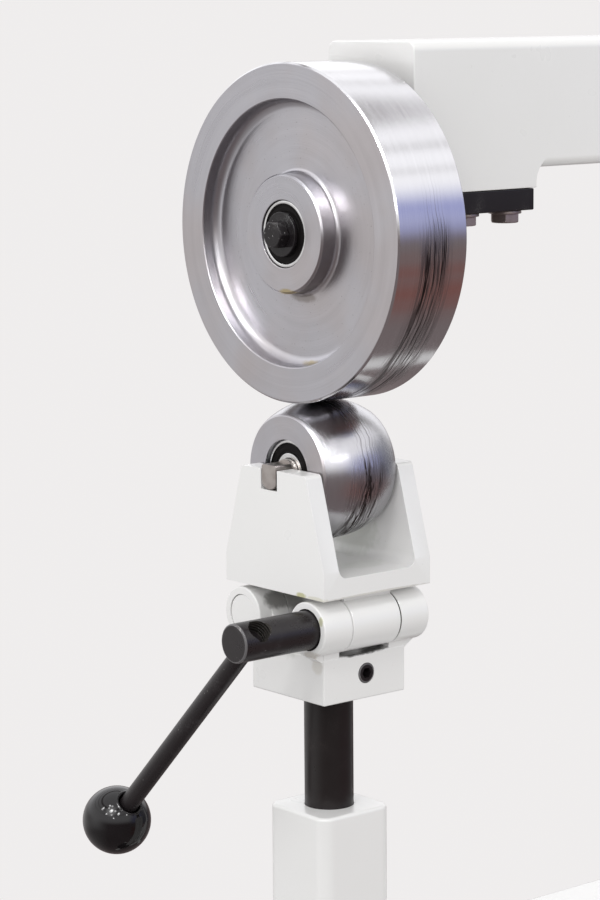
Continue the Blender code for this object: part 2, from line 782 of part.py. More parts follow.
def head_block():
    """The block clamped on the post: four lugs that carry the hinge pin and the eccentric shaft."""
    half_x = block_length / 2
    half_y = block_width / 2
    block = box("head_block", (-half_x, -half_y, block_bottom), (half_x, half_y, block_top), white_paint)
    soften(block, block_edge, 1)
    for side, lug_y in ((1, pin_y), (-1, cam_y)):
        flank_y = lug_y - side * barrel_radius * cos(lug_flank_angle)
        flank_z = hinge_height + barrel_radius * sin(lug_flank_angle)
        outer_y = half_y - web_inset
        outline = [(side * outer_y, block_top - weld_bite), (side * outer_y, hinge_height),
                   (lug_y, hinge_height), (flank_y, flank_z), (side * lug_flank_foot, block_top),
                   (side * lug_flank_foot, block_top - weld_bite)]
        for end in (-1, 1):
            low, high = sorted((end * (lug_inner + web_inset), end * (half_x - web_inset)))
            join(block, section("web", [outline], low, high, (0, 0, 0), "X"))
            low, high = sorted((end * lug_inner, end * lug_outer))
            join(block, barrel("lug", low, high, (0, lug_y, hinge_height)))
            join(block, gusset(side, end, lug_y))
    reach = lug_outer + overrun
    pin_axis = (0, pin_y, hinge_height)
    cam_axis = (0, cam_y, hinge_height)
    cut(block, rod("pin_bore", hinge_pin_radius + seat_gap, -reach, reach, pin_axis, "X", ring_steps))
    cut(block, rod("cam_bore", cam_radius + running_gap, -reach, 0, cam_axis, "X", ring_steps))
    cut(block, rod("cam_rear_bore", cam_rear_radius + running_gap, -weld_bite, reach, cam_axis, "X",
                   journal_steps))
    cut(block, rod("post_bore", post_radius + seat_gap, block_bottom - overrun, block_top + overrun,
                   (0, 0, 0), "Z", post_steps))
    screw_z = block_bottom + set_screw_rise
    screw_middle = (set_screw_offset, 0, screw_z)
    cut(block, rod("set_screw_hole", set_screw_radius + seat_gap, 0, half_y + overrun, screw_middle, "Y"))


def gusset(side, end, lug_y):
    """A slanted web under the part of a lug that overhangs the block's end."""
    foot = end * (block_length / 2 - weld_bite)
    tip = end * (lug_outer - barrel_edge)
    bottom = hinge_height - barrel_radius + web_inset
    outline = [(foot, hinge_height), (foot, block_top - gusset_drop), (tip, bottom), (tip, hinge_height)]
    low, high = sorted((side * (weld_bite - block_width / 2), side * gusset_reach - lug_y))
    return section("gusset", [outline], low, high, (0, 0, 0), "Y")


def barrel(name, start, end, middle, material=None):
    """A hinge barrel with slightly rounded ends."""
    outline = [(0, end), (barrel_radius - barrel_edge, end), (barrel_radius, end - barrel_edge),
               (barrel_radius, start + barrel_edge), (barrel_radius - barrel_edge, start), (0, start)]
    return turned(name, outline, middle, "X", ring_steps, material, closed=False)


def head_set_screw():
    """The socket set screw that clamps the block on the post."""
    half_y = block_width / 2
    screw_z = block_bottom + set_screw_rise
    inner = post_radius + seat_gap
    outer = half_y + set_screw_proud
    narrow = set_screw_radius - set_screw_chamfer
    outline = [(0, outer), (narrow, outer), (set_screw_radius, outer - set_screw_chamfer),
               (set_screw_radius, inner), (0, inner)]
    middle = (set_screw_offset, 0, screw_z)
    screw = turned("head_set_screw", outline, middle, "Y", small_steps, black_oxide, closed=False)
    bottom = outer - set_screw_socket_depth
    cut(screw, hexagon("socket", set_screw_socket, bottom, outer + overrun, middle, "Y"))


def hinge_pin():
    """The painted pin on the left that the yoke tilts on."""
    end = lug_outer - hinge_pin_recess
    narrow = hinge_pin_radius - hinge_pin_chamfer
    outline = [(0, end), (narrow, end), (hinge_pin_radius, end - hinge_pin_chamfer),
               (hinge_pin_radius, -end + hinge_pin_chamfer), (narrow, -end), (0, -end)]
    turned("hinge_pin", outline, (0, pin_y, hinge_height), "X", ring_steps, white_paint, closed=False)


# Eccentric shaft and lever

def cam_shaft():
    """The black shaft: front journal with the lever's cross hole, eccentric middle and thin rear journal."""
    axis = (0, cam_y, hinge_height)
    inner = -lug_inner
    narrow = cam_radius - cam_chamfer
    outline = [(0, inner), (cam_radius, inner), (cam_radius, -cam_front + cam_chamfer)]
    outline += [(narrow, -cam_front), (0, -cam_front)]
    shaft = turned("cam_shaft", outline, axis, "X", ring_steps, black_oxide, closed=False)
    raised = (0, cam_y, hinge_height + eccentric_throw)
    join(shaft, rod("eccentric", eccentric_radius, inner - weld_bite, barrel_half, raised, "X", ring_steps))
    rear = lug_outer + cam_rear_reach
    groove_start = lug_outer + running_gap
    groove_end = groove_start + clip_thickness + 2 * seat_gap
    neck = cam_rear_radius - clip_groove_depth
    outline = [(0, rear), (cam_rear_radius, rear), (cam_rear_radius, groove_end), (neck, groove_end),
               (neck, groove_start), (cam_rear_radius, groove_start),
               (cam_rear_radius, barrel_half - weld_bite), (0, barrel_half - weld_bite)]
    join(shaft, turned("rear_journal", outline, axis, "X", journal_steps, closed=False))
    hole = lever_place(), lever_turn()
    reach = cam_radius + overrun
    cut(shaft, rod("cross_hole", lever_hole_radius, -reach, reach, hole[0], "Z", small_steps, turn=hole[1]))
    mouth = cam_radius - lever_hole_mouth_radius + lever_hole_radius
    wide = lever_hole_mouth_radius + overrun
    outline = [(0, -mouth), (lever_hole_radius, -mouth), (wide, -mouth - wide + lever_hole_radius),
               (0, -mouth - wide + lever_hole_radius)]
    cut(shaft, turned("countersink", outline, hole[0], "Z", small_steps, closed=False, turn=hole[1]))
    clip_inner = neck + seat_gap
    clip_start = groove_start + seat_gap
    clip_end = clip_start + clip_thickness
    ring("cam_clip", clip_inner, cam_rear_radius + clip_wall, clip_start, clip_end, axis, "X", small_steps,
         black_oxide)


def lever_place():
    """Where the lever's axis crosses the eccentric shaft's."""
    return (lever_inset - cam_front, cam_y, hinge_height)


def lever_turn():
    """Local Z along the lever, away from the shaft."""
    return Matrix.Rotation(lever_angle - pi / 2, 4, "X")


def lever():
    """The lever rod screwed into the shaft, and its ball knob."""
    shoulder = cam_radius + seat_gap
    end = lever_length - ball_radius + ball_bore_depth - seat_gap
    wide = lever_radius
    outline = [(0, end), (wide, end), (wide, shoulder + lever_chamfer), (wide - lever_chamfer / 2, shoulder),
               (lever_tip_radius, shoulder), (lever_tip_radius, -lever_tip_past), (0, -lever_tip_past)]
    turned("lever_rod", outline, lever_place(), "Z", small_steps, black_oxide, closed=False,
           turn=lever_turn())
    mouth = sqrt(ball_radius ** 2 - ball_mouth_radius ** 2)
    floor = -ball_radius + ball_bore_depth
    start = degrees(asin(mouth / ball_radius))
    outside = [(radius, along) for radius, along in arc((0, 0), ball_radius, 90, -start, ball_steps // 2)]
    outline = [(radius, lever_length + along) for radius, along in outside]
    outline[0] = (0, lever_length + ball_radius)
    edge = lever_length - mouth
    outline += [(ball_bore_radius + ball_mouth_chamfer, edge), (ball_bore_radius, edge + ball_mouth_chamfer)]
    outline += [(ball_bore_radius, lever_length + floor), (0, lever_length + floor)]
    turned("ball_knob", outline, lever_place(), "Z", ball_steps, black_plastic, closed=False,
           turn=lever_turn())


# Yoke

def yoke():
    """The U-shaped yoke: tapered slotted ears on a base, with two hinge barrels under it."""
    half_x = yoke_length / 2
    half_y = yoke_width / 2
    inner_x = half_x - yoke_plate
    channel = [(half_x, yoke_bottom), (half_x, yoke_top), (inner_x, yoke_top)]
    channel += arc((inner_x - yoke_fillet, yoke_floor + yoke_fillet), yoke_fillet, 0, -90)
    channel += arc((yoke_fillet - inner_x, yoke_floor + yoke_fillet), yoke_fillet, -90, -180)
    channel += [(-inner_x, yoke_top), (-half_x, yoke_top), (-half_x, yoke_bottom)]
    shape = section("yoke", [channel], -half_y, half_y, (0, 0, 0), "Y", white_paint)
    shoulder = yoke_bottom + yoke_ear_shoulder
    top_y = yoke_ear_top_width / 2
    lean = (half_y - top_y) / (yoke_top - shoulder)
    below = yoke_top - yoke_ear_round
    right = [(half_y, yoke_bottom - overrun), (half_y, shoulder), (top_y + yoke_ear_round * lean, below),
             (top_y - yoke_ear_round, yoke_top)]
    left = [(-y, z) for y, z in reversed(right)]
    reach = half_x + overrun
    combine(shape, section("ears", [right + left], -reach, reach, (0, 0, 0), "X"), "INTERSECT")
    soften(shape, yoke_edge, 1)
    slot_low = anvil_height - bearing_bore_radius - seat_gap
    slot = (anvil_offset - slot_width / 2, anvil_offset + slot_width / 2)
    cut(shape, box("slots", (-reach, slot[0], slot_low), (reach, slot[1], yoke_top + overrun)))
    web_x = barrel_half - web_inset
    for y in (pin_y, cam_y):
        web = box("web", (-web_x, y - barrel_web / 2, hinge_height),
                  (web_x, y + barrel_web / 2, yoke_bottom + weld_bite))
        join(shape, web, barrel("barrel", -barrel_half, barrel_half, (0, y, hinge_height)))
    reach = barrel_half + overrun
    cut(shape, rod("pin_bore", hinge_pin_radius + running_gap, -reach, reach, (0, pin_y, hinge_height), "X",
                   ring_steps))
    oval = arc((eccentric_throw, 0), eccentric_slot_radius, -90, 90, 2 * crown_steps)
    oval += arc((-eccentric_throw, 0), eccentric_slot_radius, 90, 270, 2 * crown_steps)
    raised = (0, cam_y, hinge_height + eccentric_throw)
    cut(shape, section("eccentric_slot", [oval], -reach, reach, raised, "X"))


# Lower wheel and its axle

def anvil_wheel():
    """The crowned lower wheel with a stepped bore."""
    face = anvil_width / 2
    tread = face - anvil_edge
    sagitta = anvil_radius - anvil_face_radius
    crown_radius = (tread ** 2 + sagitta ** 2) / (2 * sagitta)
    spread = degrees(asin(tread / crown_radius))
    crown = arc((anvil_radius - crown_radius, 0), crown_radius, spread, -spread, crown_steps)
    seat = anvil_bearing_face - bearing_width - seat_gap
    shoulder = bearing_radius - wheel_shoulder_wall
    front = [(anvil_face_radius - anvil_edge, -face), (bearing_radius, -face), (bearing_radius, -seat),
             (shoulder, -seat)]
    rear = [(radius, -along) for radius, along in reversed(front)]
    middle = (0, anvil_offset, anvil_height)
    turned("anvil_wheel", crown + front + rear, middle, "X", anvil_steps, polished_steel)


def anvil_bearings():
    """The two bearings of the lower wheel and the spacer between their inner rings."""
    middle = (0, anvil_offset, anvil_height)
    bearing("anvil_bearing_front", anvil_bearing_face, -1, middle)
    bearing("anvil_bearing_rear", anvil_bearing_face, 1, middle)
    half = anvil_bearing_face - bearing_width - seat_gap
    inner = bearing_bore_radius + seat_gap
    outer = inner + anvil_spacer_wall
    ring("anvil_spacer", inner, outer, -half, half, middle, "X", bearing_steps, worn_steel)


def anvil_axle():
    """The lower axle, its ends milled flat on three sides to drop into the yoke's slots."""
    middle = (0, anvil_offset, anvil_height)
    end = yoke_length / 2
    shoulder = end - yoke_plate - seat_gap
    axle = rod("anvil_axle", bearing_bore_radius, -end, end, middle, "X", ring_steps, worn_steel)
    reach = bearing_bore_radius + overrun
    for side in (-1, 1):
        low_x, high_x = sorted((side * shoulder, side * (end + overrun)))
        for cheek in (-1, 1):
            low_y, high_y = sorted((cheek * anvil_flat_width / 2, cheek * reach))
            cut(axle, box("flat", (low_x, anvil_offset + low_y, anvil_height - reach),
                          (high_x, anvil_offset + high_y, anvil_height + reach)))
        cut(axle, box("top_flat", (low_x, anvil_offset - reach, anvil_height + anvil_flat_top),
                      (high_x, anvil_offset + reach, anvil_height + reach)))


# Assembly

def hang(axis_name, place_on_axis, names, parent=None):
    """Put an empty on a joint's axis and hang the moving pieces from it."""
    axis = bpy.data.objects.new(axis_name, None)
    machine.objects.link(axis)
    axis.matrix_world = Matrix.Translation(place_on_axis)
    axis.empty_display_size = barrel_radius
    bpy.context.view_layer.update()
    if parent:
        adopt(parent, axis)
    for name in names:
        adopt(axis, bpy.data.objects[name])
    return axis


def adopt(parent, child):
    """Parent a child without moving it."""
    bpy.context.view_layer.update()
    world = child.matrix_world.copy()
    child.parent = parent
    child.matrix_parent_inverse = parent.matrix_world.inverted()
    child.matrix_world = world


def bearing_names(prefix, parts):
    """The names of the given parts of a wheel's two bearings."""
    return [f"{prefix}_bearing_{end}_{part}" for end in ("front", "rear") for part in parts]


upper_wheel()
upper_bearings()
upper_axle()
axle_washer()
axle_bolt()
axle_bracket()
bracket_bolts()
upper_arm()
arm_nose()
c_frame()
stand()
front_column()
lifting_screw()
post()
head_block()
head_set_screw()
hinge_pin()
cam_shaft()
lever()
yoke()
anvil_wheel()
anvil_bearings()
anvil_axle()

turning = ("outer_ring", "seal")
hang("upper_wheel_axis", (wheel_x, 0, wheel_height), ["upper_wheel"] + bearing_names("upper", turning))
hang("screw_axis", (0, 0, kick_wheel_height),
     ["lift_screw", "thrust_race_upper", "screw_collar", "kick_wheel", "kick_wheel_nut"])
post_axis = hang("post_axis", (0, 0, block_bottom), ["post", "head_block", "head_set_screw", "hinge_pin"])
hang("cam_axis", (0, cam_y, hinge_height), ["cam_shaft", "cam_clip", "lever_rod", "ball_knob"], post_axis)
tilting = ["yoke", "anvil_axle", "anvil_spacer"] + bearing_names("anvil", ("inner_ring",))
hinge_axis = hang("hinge_axis", (0, pin_y, hinge_height), tilting, post_axis)
hang("anvil_axis", (0, anvil_offset, anvil_height), ["anvil_wheel"] + bearing_names("anvil", turning),
     hinge_axis)

for piece in machine.objects:
    if piece.type == "MESH":
        piece.data.shade_smooth()
        piece.data.set_sharp_from_angle(angle=radians(32))

print("eccentric tilt in degrees", round(degrees(cam_tilt), 4))
print("lifting in metres for each radian", round(screw_pitch / (2 * pi), 9))
print("screw turns in degrees", round(360 * post_travel / screw_pitch, 3))
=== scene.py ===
"""Looks of a floor-standing english wheel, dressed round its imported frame.

Metres, +Z up. X runs along the wheel axles to the rear column, Y points to the machine's left as seen from
the front, and the origin lies on the floor under the lifting post. Every piece is made in place at the origin,
takes its finish from a small class of its own and rides on the frame body of the node that it stands for.
"""

import json
import logging
from dataclasses import dataclass, field
from enum import Enum
from math import asin, atan2, cos, degrees, hypot, pi, radians, sin, sqrt
from typing import Callable, Sequence, Union

import bmesh
import bpy
from mathutils import Matrix, Vector


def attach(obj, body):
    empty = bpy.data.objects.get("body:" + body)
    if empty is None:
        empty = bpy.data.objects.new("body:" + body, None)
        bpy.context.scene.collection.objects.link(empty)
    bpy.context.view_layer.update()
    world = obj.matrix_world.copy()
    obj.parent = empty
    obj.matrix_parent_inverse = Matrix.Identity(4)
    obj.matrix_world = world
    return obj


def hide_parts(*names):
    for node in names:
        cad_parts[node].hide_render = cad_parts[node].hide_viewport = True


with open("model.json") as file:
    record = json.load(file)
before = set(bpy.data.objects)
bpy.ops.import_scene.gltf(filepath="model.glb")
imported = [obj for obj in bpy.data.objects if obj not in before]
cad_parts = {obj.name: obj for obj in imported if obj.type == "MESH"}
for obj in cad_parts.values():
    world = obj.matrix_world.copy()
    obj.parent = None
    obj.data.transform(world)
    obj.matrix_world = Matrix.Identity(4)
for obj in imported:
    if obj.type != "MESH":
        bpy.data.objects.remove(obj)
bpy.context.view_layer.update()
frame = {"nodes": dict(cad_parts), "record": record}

Point = Sequence[float]
Triple = tuple[float, float, float]
Profile = list[tuple[float, float]]
Value = Union["Wire", float, Point]

ORIGIN = (0, 0, 0)
MERGE = 0.000002
SEAT_GAP = 0.0003
OVERLAP = 0.001
DRILL = 0.05
# The hinge: the height and the two sides of its axes, the radius of its barrels, half the length of the yoke's
# and how far the eccentric is off its shaft's axis.
HINGE_Z, PIN_Y, CAM_Y = 0.919156, 0.0313, -0.0293
BARREL, BARREL_HALF, THROW = 0.0166, 0.0188, 0.0013
LOG = logging.getLogger("english_wheel")


class Facing(Enum):
    """The way local Z points in a turned or extruded piece."""

    X = ((0, 0, 1), (1, 0, 0), (0, 1, 0))
    Y = ((1, 0, 0), (0, 0, -1), (0, 1, 0))
    Z = ((1, 0, 0), (0, 1, 0), (0, 0, 1))


def arc(middle: Point, radius: float, start: float, end: float, steps: int) -> Profile:
    """Give points on an arc, both ends included.

    Args:
        middle: The arc's centre in the outline's plane.
        radius: Its radius.
        start: The first angle in degrees.
        end: The last angle in degrees.
        steps: How many chords it has.

    Returns:
        The points in order.
    """
    turns = [radians(start + (end - start) * count / steps) for count in range(steps + 1)]
    return [(middle[0] + radius * cos(turn), middle[1] + radius * sin(turn)) for turn in turns]


def rounded_square(side: float, corner: float, steps: int = 8) -> Profile:
    """Give the outline of a square of a side, with corners of a radius in some steps."""
    inner = side / 2 - corner
    points: Profile = []
    for quarter, (across, up) in enumerate(((1, 1), (-1, 1), (-1, -1), (1, -1))):
        points += arc((inner * across, inner * up), corner, 90 * quarter, 90 * quarter + 90, steps)
    return points


def off_axis(place: Vector, centre: Point) -> float:
    """Give a place's distance from the line along X through a centre."""
    return hypot(place.y - centre[1], place.z - centre[2])


class Solid:
    """A closed mesh in the making."""

    def __init__(self, cage: bmesh.types.BMesh) -> None:
        """Keep the bmesh that the operators work on."""
        self.cage = cage

    @classmethod
    def lathe(cls, profile: Profile, centre: Point, facing: Union[Facing, Matrix] = Facing.X,
              steps: int = 64, closed: bool = False) -> "Solid":
        """Spin an outline about its own axis.

        Args:
            profile: (radius, place along the axis) pairs.
            centre: Where the outline's zero lies.
            facing: The axis, or a matrix that turns local Z to it.
            steps: How many facets go round.
            closed: Whether the last point joins the first, as in a ring.

        Returns:
            The turned solid.
        """
        cage = bmesh.new()
        corners = [cage.verts.new((radius, 0, along)) for radius, along in profile]
        edges = [cage.edges.new(pair) for pair in zip(corners, corners[1:])]
        if closed:
            edges.append(cage.edges.new((corners[-1], corners[0])))
        bmesh.ops.spin(cage, geom=corners + edges, cent=ORIGIN, axis=(0, 0, 1), angle=2 * pi, steps=steps,
                       use_merge=True)
        return cls(cage).settle(centre, facing)

    @classmethod
    def rod(cls, radius: float, low: float, high: float, centre: Point, facing: Facing = Facing.X,
            steps: int = 96) -> "Solid":
        """Turn a round rod between two places on its axis."""
        return cls.lathe([(0, high), (radius, high), (radius, low), (0, low)], centre, facing, steps)

    @classmethod
    def ring(cls, inner: float, outer: float, low: float, high: float, centre: Point,
             facing: Facing = Facing.X, steps: int = 64) -> "Solid":
        """Turn a ring between two radii and two places on its axis."""
        return cls.lathe([(inner, high), (outer, high), (outer, low), (inner, low)], centre, facing, steps, True)

    @classmethod
    def prism(cls, outline: Profile, low: float, high: float, centre: Point = ORIGIN,
              facing: Facing = Facing.X) -> "Solid":
        """Extrude a closed outline between two places on its axis.

        Args:
            outline: The outline's corners in the plane across the axis.
            low: Where it starts.
            high: Where it ends.
            centre: Where the outline's zero lies.
            facing: The axis.

        Returns:
            The extruded solid.
        """
        cage = bmesh.new()
        face = cage.faces.new([cage.verts.new((across, up, low)) for across, up in outline])
        grown = bmesh.ops.extrude_face_region(cage, geom=[face])["geom"]
        moved = [part for part in grown if isinstance(part, bmesh.types.BMVert)]
        bmesh.ops.translate(cage, vec=(0, 0, high - low), verts=moved)
        return cls(cage).settle(centre, facing)

    @classmethod
    def box(cls, low: Point, high: Point) -> "Solid":
        """Give a box between two opposite corners."""
        cage = bmesh.new()
        size = Vector(high) - Vector(low)
        bmesh.ops.create_cube(cage, size=1, matrix=Matrix.Diagonal((*size, 1)))
        return cls(cage).settle((Vector(low) + Vector(high)) / 2, Facing.Z)

    def settle(self, centre: Point, facing: Union[Facing, Matrix]) -> "Solid":
        """Close seams and poles, turn the faces outwards and move the solid to its place.

        Args:
            centre: Where its zero goes.
            facing: The axis, or a matrix that turns local Z to it.

        Returns:
            The solid itself.
        """
        turn = Matrix(facing.value).to_4x4() if isinstance(facing, Facing) else facing
        bmesh.ops.remove_doubles(self.cage, verts=self.cage.verts, dist=MERGE)
        bmesh.ops.transform(self.cage, matrix=Matrix.Translation(centre) @ turn, verts=self.cage.verts)
        bmesh.ops.recalc_face_normals(self.cage, faces=self.cage.faces)
        return self

    def _bevel(self, edges: list[bmesh.types.BMEdge], width: float, segments: int) -> "Solid":
        """Round off some edges by a width in some segments."""
        bmesh.ops.bevel(self.cage, geom=edges, offset=width, offset_type="OFFSET", segments=segments,
                        profile=0.5, affect="EDGES", material=-1, clamp_overlap=True)
        return self

    def soften(self, width: float, segments: int = 2, sharper: float = 35) -> "Solid":
        """Round off the edges that are sharper than an angle.

        Args:
            width: How far the rounding reaches on each face.
            segments: Its facets.
            sharper: The least angle between two faces, in degrees.

        Returns:
            The solid itself.
        """
        return self._bevel([edge for edge in self.cage.edges if len(edge.link_faces) == 2
                            and edge.calc_face_angle(0) > radians(sharper)], width, segments)

    def soften_end(self, width: float, segments: int, axis: int, place: float) -> "Solid":
        """Round off the edges that lie in one end face.

        Args:
            width: How far the rounding reaches on each face.
            segments: Its facets.
            axis: The number of the axis that the end face is square to.
            place: Where on that axis it lies.

        Returns:
            The solid itself.
        """
        return self._bevel([edge for edge in self.cage.edges
                            if all(abs(corner.co[axis] - place) < MERGE for corner in edge.verts)],
                           width, segments)

    def _draft(self) -> bpy.types.Object:
        """Put the bmesh into a passing object and let go of it."""
        mesh = bpy.data.meshes.new("draft")
        self.cage.to_mesh(mesh)
        self.cage.free()
        draft = bpy.data.objects.new("draft", mesh)
        bpy.context.scene.collection.objects.link(draft)
        return draft

    @staticmethod
    def _bake(draft: bpy.types.Object, *used: bpy.types.Object) -> bpy.types.Mesh:
        """Give a draft's mesh with its modifier applied, and drop the draft and what the modifier used."""
        made = bpy.data.meshes.new_from_object(draft.evaluated_get(bpy.context.evaluated_depsgraph_get()))
        for old in (draft, *used):
            mesh = old.data
            bpy.data.objects.remove(old)
            bpy.data.meshes.remove(mesh)
        return made

    def _boolean(self, others: Sequence["Solid"], operation: str) -> "Solid":
        """Join, cut or intersect this solid with others, which are used up.

        Args:
            others: The other solids.
            operation: The Boolean modifier's operation.

        Returns:
            The solid itself.
        """
        for other in others:
            draft, tool = self._draft(), other._draft()
            step = draft.modifiers.new("step", "BOOLEAN")
            step.operation, step.solver, step.object = operation, "EXACT", tool
            made = self._bake(draft, tool)
            self.cage = bmesh.new()
            self.cage.from_mesh(made)
            bpy.data.meshes.remove(made)
            bmesh.ops.remove_doubles(self.cage, verts=self.cage.verts, dist=MERGE)
            bmesh.ops.dissolve_degenerate(self.cage, edges=self.cage.edges, dist=MERGE)
        return self

    def join(self, *others: "Solid") -> "Solid":
        """Weld other solids to this one."""
        return self._boolean(others, "UNION")

    def cut(self, *others: "Solid") -> "Solid":
        """Cut other solids out of this one."""
        return self._boolean(others, "DIFFERENCE")

    def meet(self, other: "Solid") -> "Solid":
        """Keep only what this solid shares with another."""
        return self._boolean((other,), "INTERSECT")

    def piece(self, name: str, sharp: float) -> bpy.types.Object:
        """Make the finished object, with weighted normals so that its flat faces look flat.

        Args:
            name: The object's name.
            sharp: Edges sharper than this many degrees stay sharp.

        Returns:
            The object, at the origin.
        """
        draft = self._draft()
        draft.data.shade_smooth()
        draft.data.set_sharp_from_angle(angle=radians(sharp))
        draft.modifiers.new("normals", "WEIGHTED_NORMAL").keep_sharp = True
        mesh = self._bake(draft)
        mesh.name = name
        shown = bpy.data.objects.new(name, mesh)
        bpy.context.scene.collection.objects.link(shown)
        return shown


def _operator(operation: str, swapped: bool = False) -> Callable[["Wire", Value], "Wire"]:
    """Give an operator's method, which adds a Math node.

    Args:
        operation: The node's operation.
        swapped: Whether the other value comes first, as in a reflected operator.

    Returns:
        The method.
    """
    def method(self: "Wire", other: Value) -> "Wire":
        """Add the Math node."""
        return self.tree.math(operation, *((other, self) if swapped else (self, other)))

    return method


class Wire:
    """A shader value that Python's operators add Math nodes to."""

    def __init__(self, tree: "Tree", socket: bpy.types.NodeSocket) -> None:
        """Keep the socket and the tree that it belongs to."""
        self.tree = tree
        self.socket = socket

    __add__ = __radd__ = _operator("ADD")
    __mul__ = __rmul__ = _operator("MULTIPLY")
    __sub__, __rsub__ = _operator("SUBTRACT"), _operator("SUBTRACT", True)
    __truediv__ = _operator("DIVIDE")
    __pow__ = _operator("POWER")

    def __neg__(self) -> "Wire":
        """Turn the sign round."""
        return self * -1.0

    def __abs__(self) -> "Wire":
        """Give the size without the sign."""
        return self.tree.math("ABSOLUTE", self)

    def rise(self, low: float, high: float) -> "Wire":
        """Go smoothly from 0 at the low value to 1 at the high one."""
        return self.tree.wire("ShaderNodeMapRange", {"interpolation_type": "SMOOTHSTEP"},
                              {"Value": self, "From Min": low, "From Max": high}, "Result")

    def fall(self, low: float, high: float) -> "Wire":
        """Go smoothly from 1 at the low value to 0 at the high one."""
        return 1 - self.rise(low, high)


class Tree:
    """A node tree in the making."""

    def __init__(self, tree: bpy.types.NodeTree, coordinates: str = "Object") -> None:
        """Keep the tree and the name of the Texture Coordinate output that tells the place."""
        self.nodes = tree.nodes
        self.links = tree.links
        self.coordinates = coordinates
        self._places: dict[tuple, dict[str, Wire]] = {}

    def feed(self, socket: bpy.types.NodeSocket, value: Value) -> None:
        """Link or set a socket."""
        if isinstance(value, Wire):
            self.links.new(value.socket, socket)
        elif isinstance(value, (int, float)):
            socket.default_value = value
        else:
            socket.default_value = (*value, 1.0)[:len(socket.default_value)]

    def node(self, kind: str, settings: dict | None = None, values: dict | None = None) -> bpy.types.Node:
        """Add a node.

        Args:
            kind: The node's type.
            settings: Its properties, set first.
            values: Values or links by the name or number of the socket.

        Returns:
            The node.
        """
        node = self.nodes.new(kind)
        for name, setting in (settings or {}).items():
            setattr(node, name, setting)
        for name, value in (values or {}).items():
            self.feed(node.inputs[name], value)
        return node

    def wire(self, kind: str, settings: dict | None, values: dict | None, output: Union[str, int] = 0) -> Wire:
        """Add a node and give one of its outputs."""
        return Wire(self, self.node(kind, settings, values).outputs[output])

    def math(self, operation: str, *values: Value) -> Wire:
        """Add a Math node and give its result."""
        return self.wire("ShaderNodeMath", {"operation": operation}, dict(enumerate(values)))

    def length(self, *parts: Wire) -> Wire:
        """Give the length of a vector from its parts."""
        total = parts[0] * parts[0]
        for part in parts[1:]:
            total = total + part * part
        return self.math("SQRT", total)

    def blend(self, factor: Value, first: Value, second: Value, way: str = "MIX") -> Wire:
        """Mix two colours.

        Args:
            factor: 0 for the first colour and 1 for the second.
            first: The first colour.
            second: The second colour.
            way: The mix's blend type.

        Returns:
            The mixed colour.
        """
        node = self.node("ShaderNodeMix", {"data_type": "RGBA", "blend_type": way})
        sockets = {socket.identifier: socket for socket in (*node.inputs, *node.outputs)}
        for name, value in (("Factor_Float", factor), ("A_Color", first), ("B_Color", second)):
            self.feed(sockets[name], value)
        return Wire(self, sockets["Result_Color"])

    def place(self, centre: Point = ORIGIN) -> dict[str, Wire]:
        """Give the place on the object, counted from a centre, as xyz and as its parts X, Y and Z."""
        key = tuple(centre)
        if key not in self._places:
            vector = self.wire("ShaderNodeTexCoord", None, None, self.coordinates)
            if any(key):
                vector = self.wire("ShaderNodeMapping", None, {0: vector, 1: tuple(-part for part in key)})
            split = self.node("ShaderNodeSeparateXYZ", None, {0: vector})
            self._places[key] = {"xyz": vector, **{axis: Wire(self, split.outputs[axis]) for axis in "XYZ"}}
        return self._places[key]

    def shift(self, vector: Wire, scale: float, reach: float) -> Wire:
        """Push a place about by coloured noise, so that what is drawn on it gets a ragged edge.

        Args:
            vector: The place.
            scale: The noise's scale.
            reach: How far it pushes.

        Returns:
            The shifted place.
        """
        cloud = self.wire("ShaderNodeTexNoise", None, {"Vector": vector, "Scale": scale, "Detail": 2.0}, "Color")
        return self.wire("ShaderNodeVectorMath", {"operation": "MULTIPLY_ADD"},
                         {0: cloud, 1: (reach,) * 3, 2: vector})

    def noise(self, vector: Wire, scale: float, detail: float = 2) -> Wire:
        """Give cloudy noise between 0 and 1 over a vector."""
        return self.wire("ShaderNodeTexNoise", {"noise_dimensions": "3D"},
                         {"Vector": vector, "Scale": scale, "Detail": detail, "Roughness": 0.5}, "Fac")

    def specks(self, vector: Wire, scale: float, size: float, share: float) -> Wire:
        """Give round specks: 1 inside a speck and 0 outside.

        Args:
            vector: The place.
            scale: How many cells there are to a metre.
            size: The specks' reach, as a share of a cell.
            share: The share of cells that hold one.

        Returns:
            The mask.
        """
        cells = self.node("ShaderNodeTexVoronoi", {"feature": "F1"}, {"Vector": vector, "Scale": scale})
        chosen = self.wire("ShaderNodeSeparateColor", None, {0: Wire(self, cells.outputs["Color"])})
        near = Wire(self, cells.outputs["Distance"]).fall(size * 0.5, size)
        return near * chosen.rise(1 - share, 1.001 - share)

    def bump(self, height: Wire, distance: float, strength: float) -> Wire:
        """Turn a height in units of a distance into a bumped normal."""
        return self.wire("ShaderNodeBump", None, {"Height": height, "Distance": distance, "Strength": strength})


@dataclass(frozen=True)
class Stain:
    """A local mark on a surface: a soft ragged oval."""

    centre: Triple
    reach: Triple
    colour: Triple
    strength: float


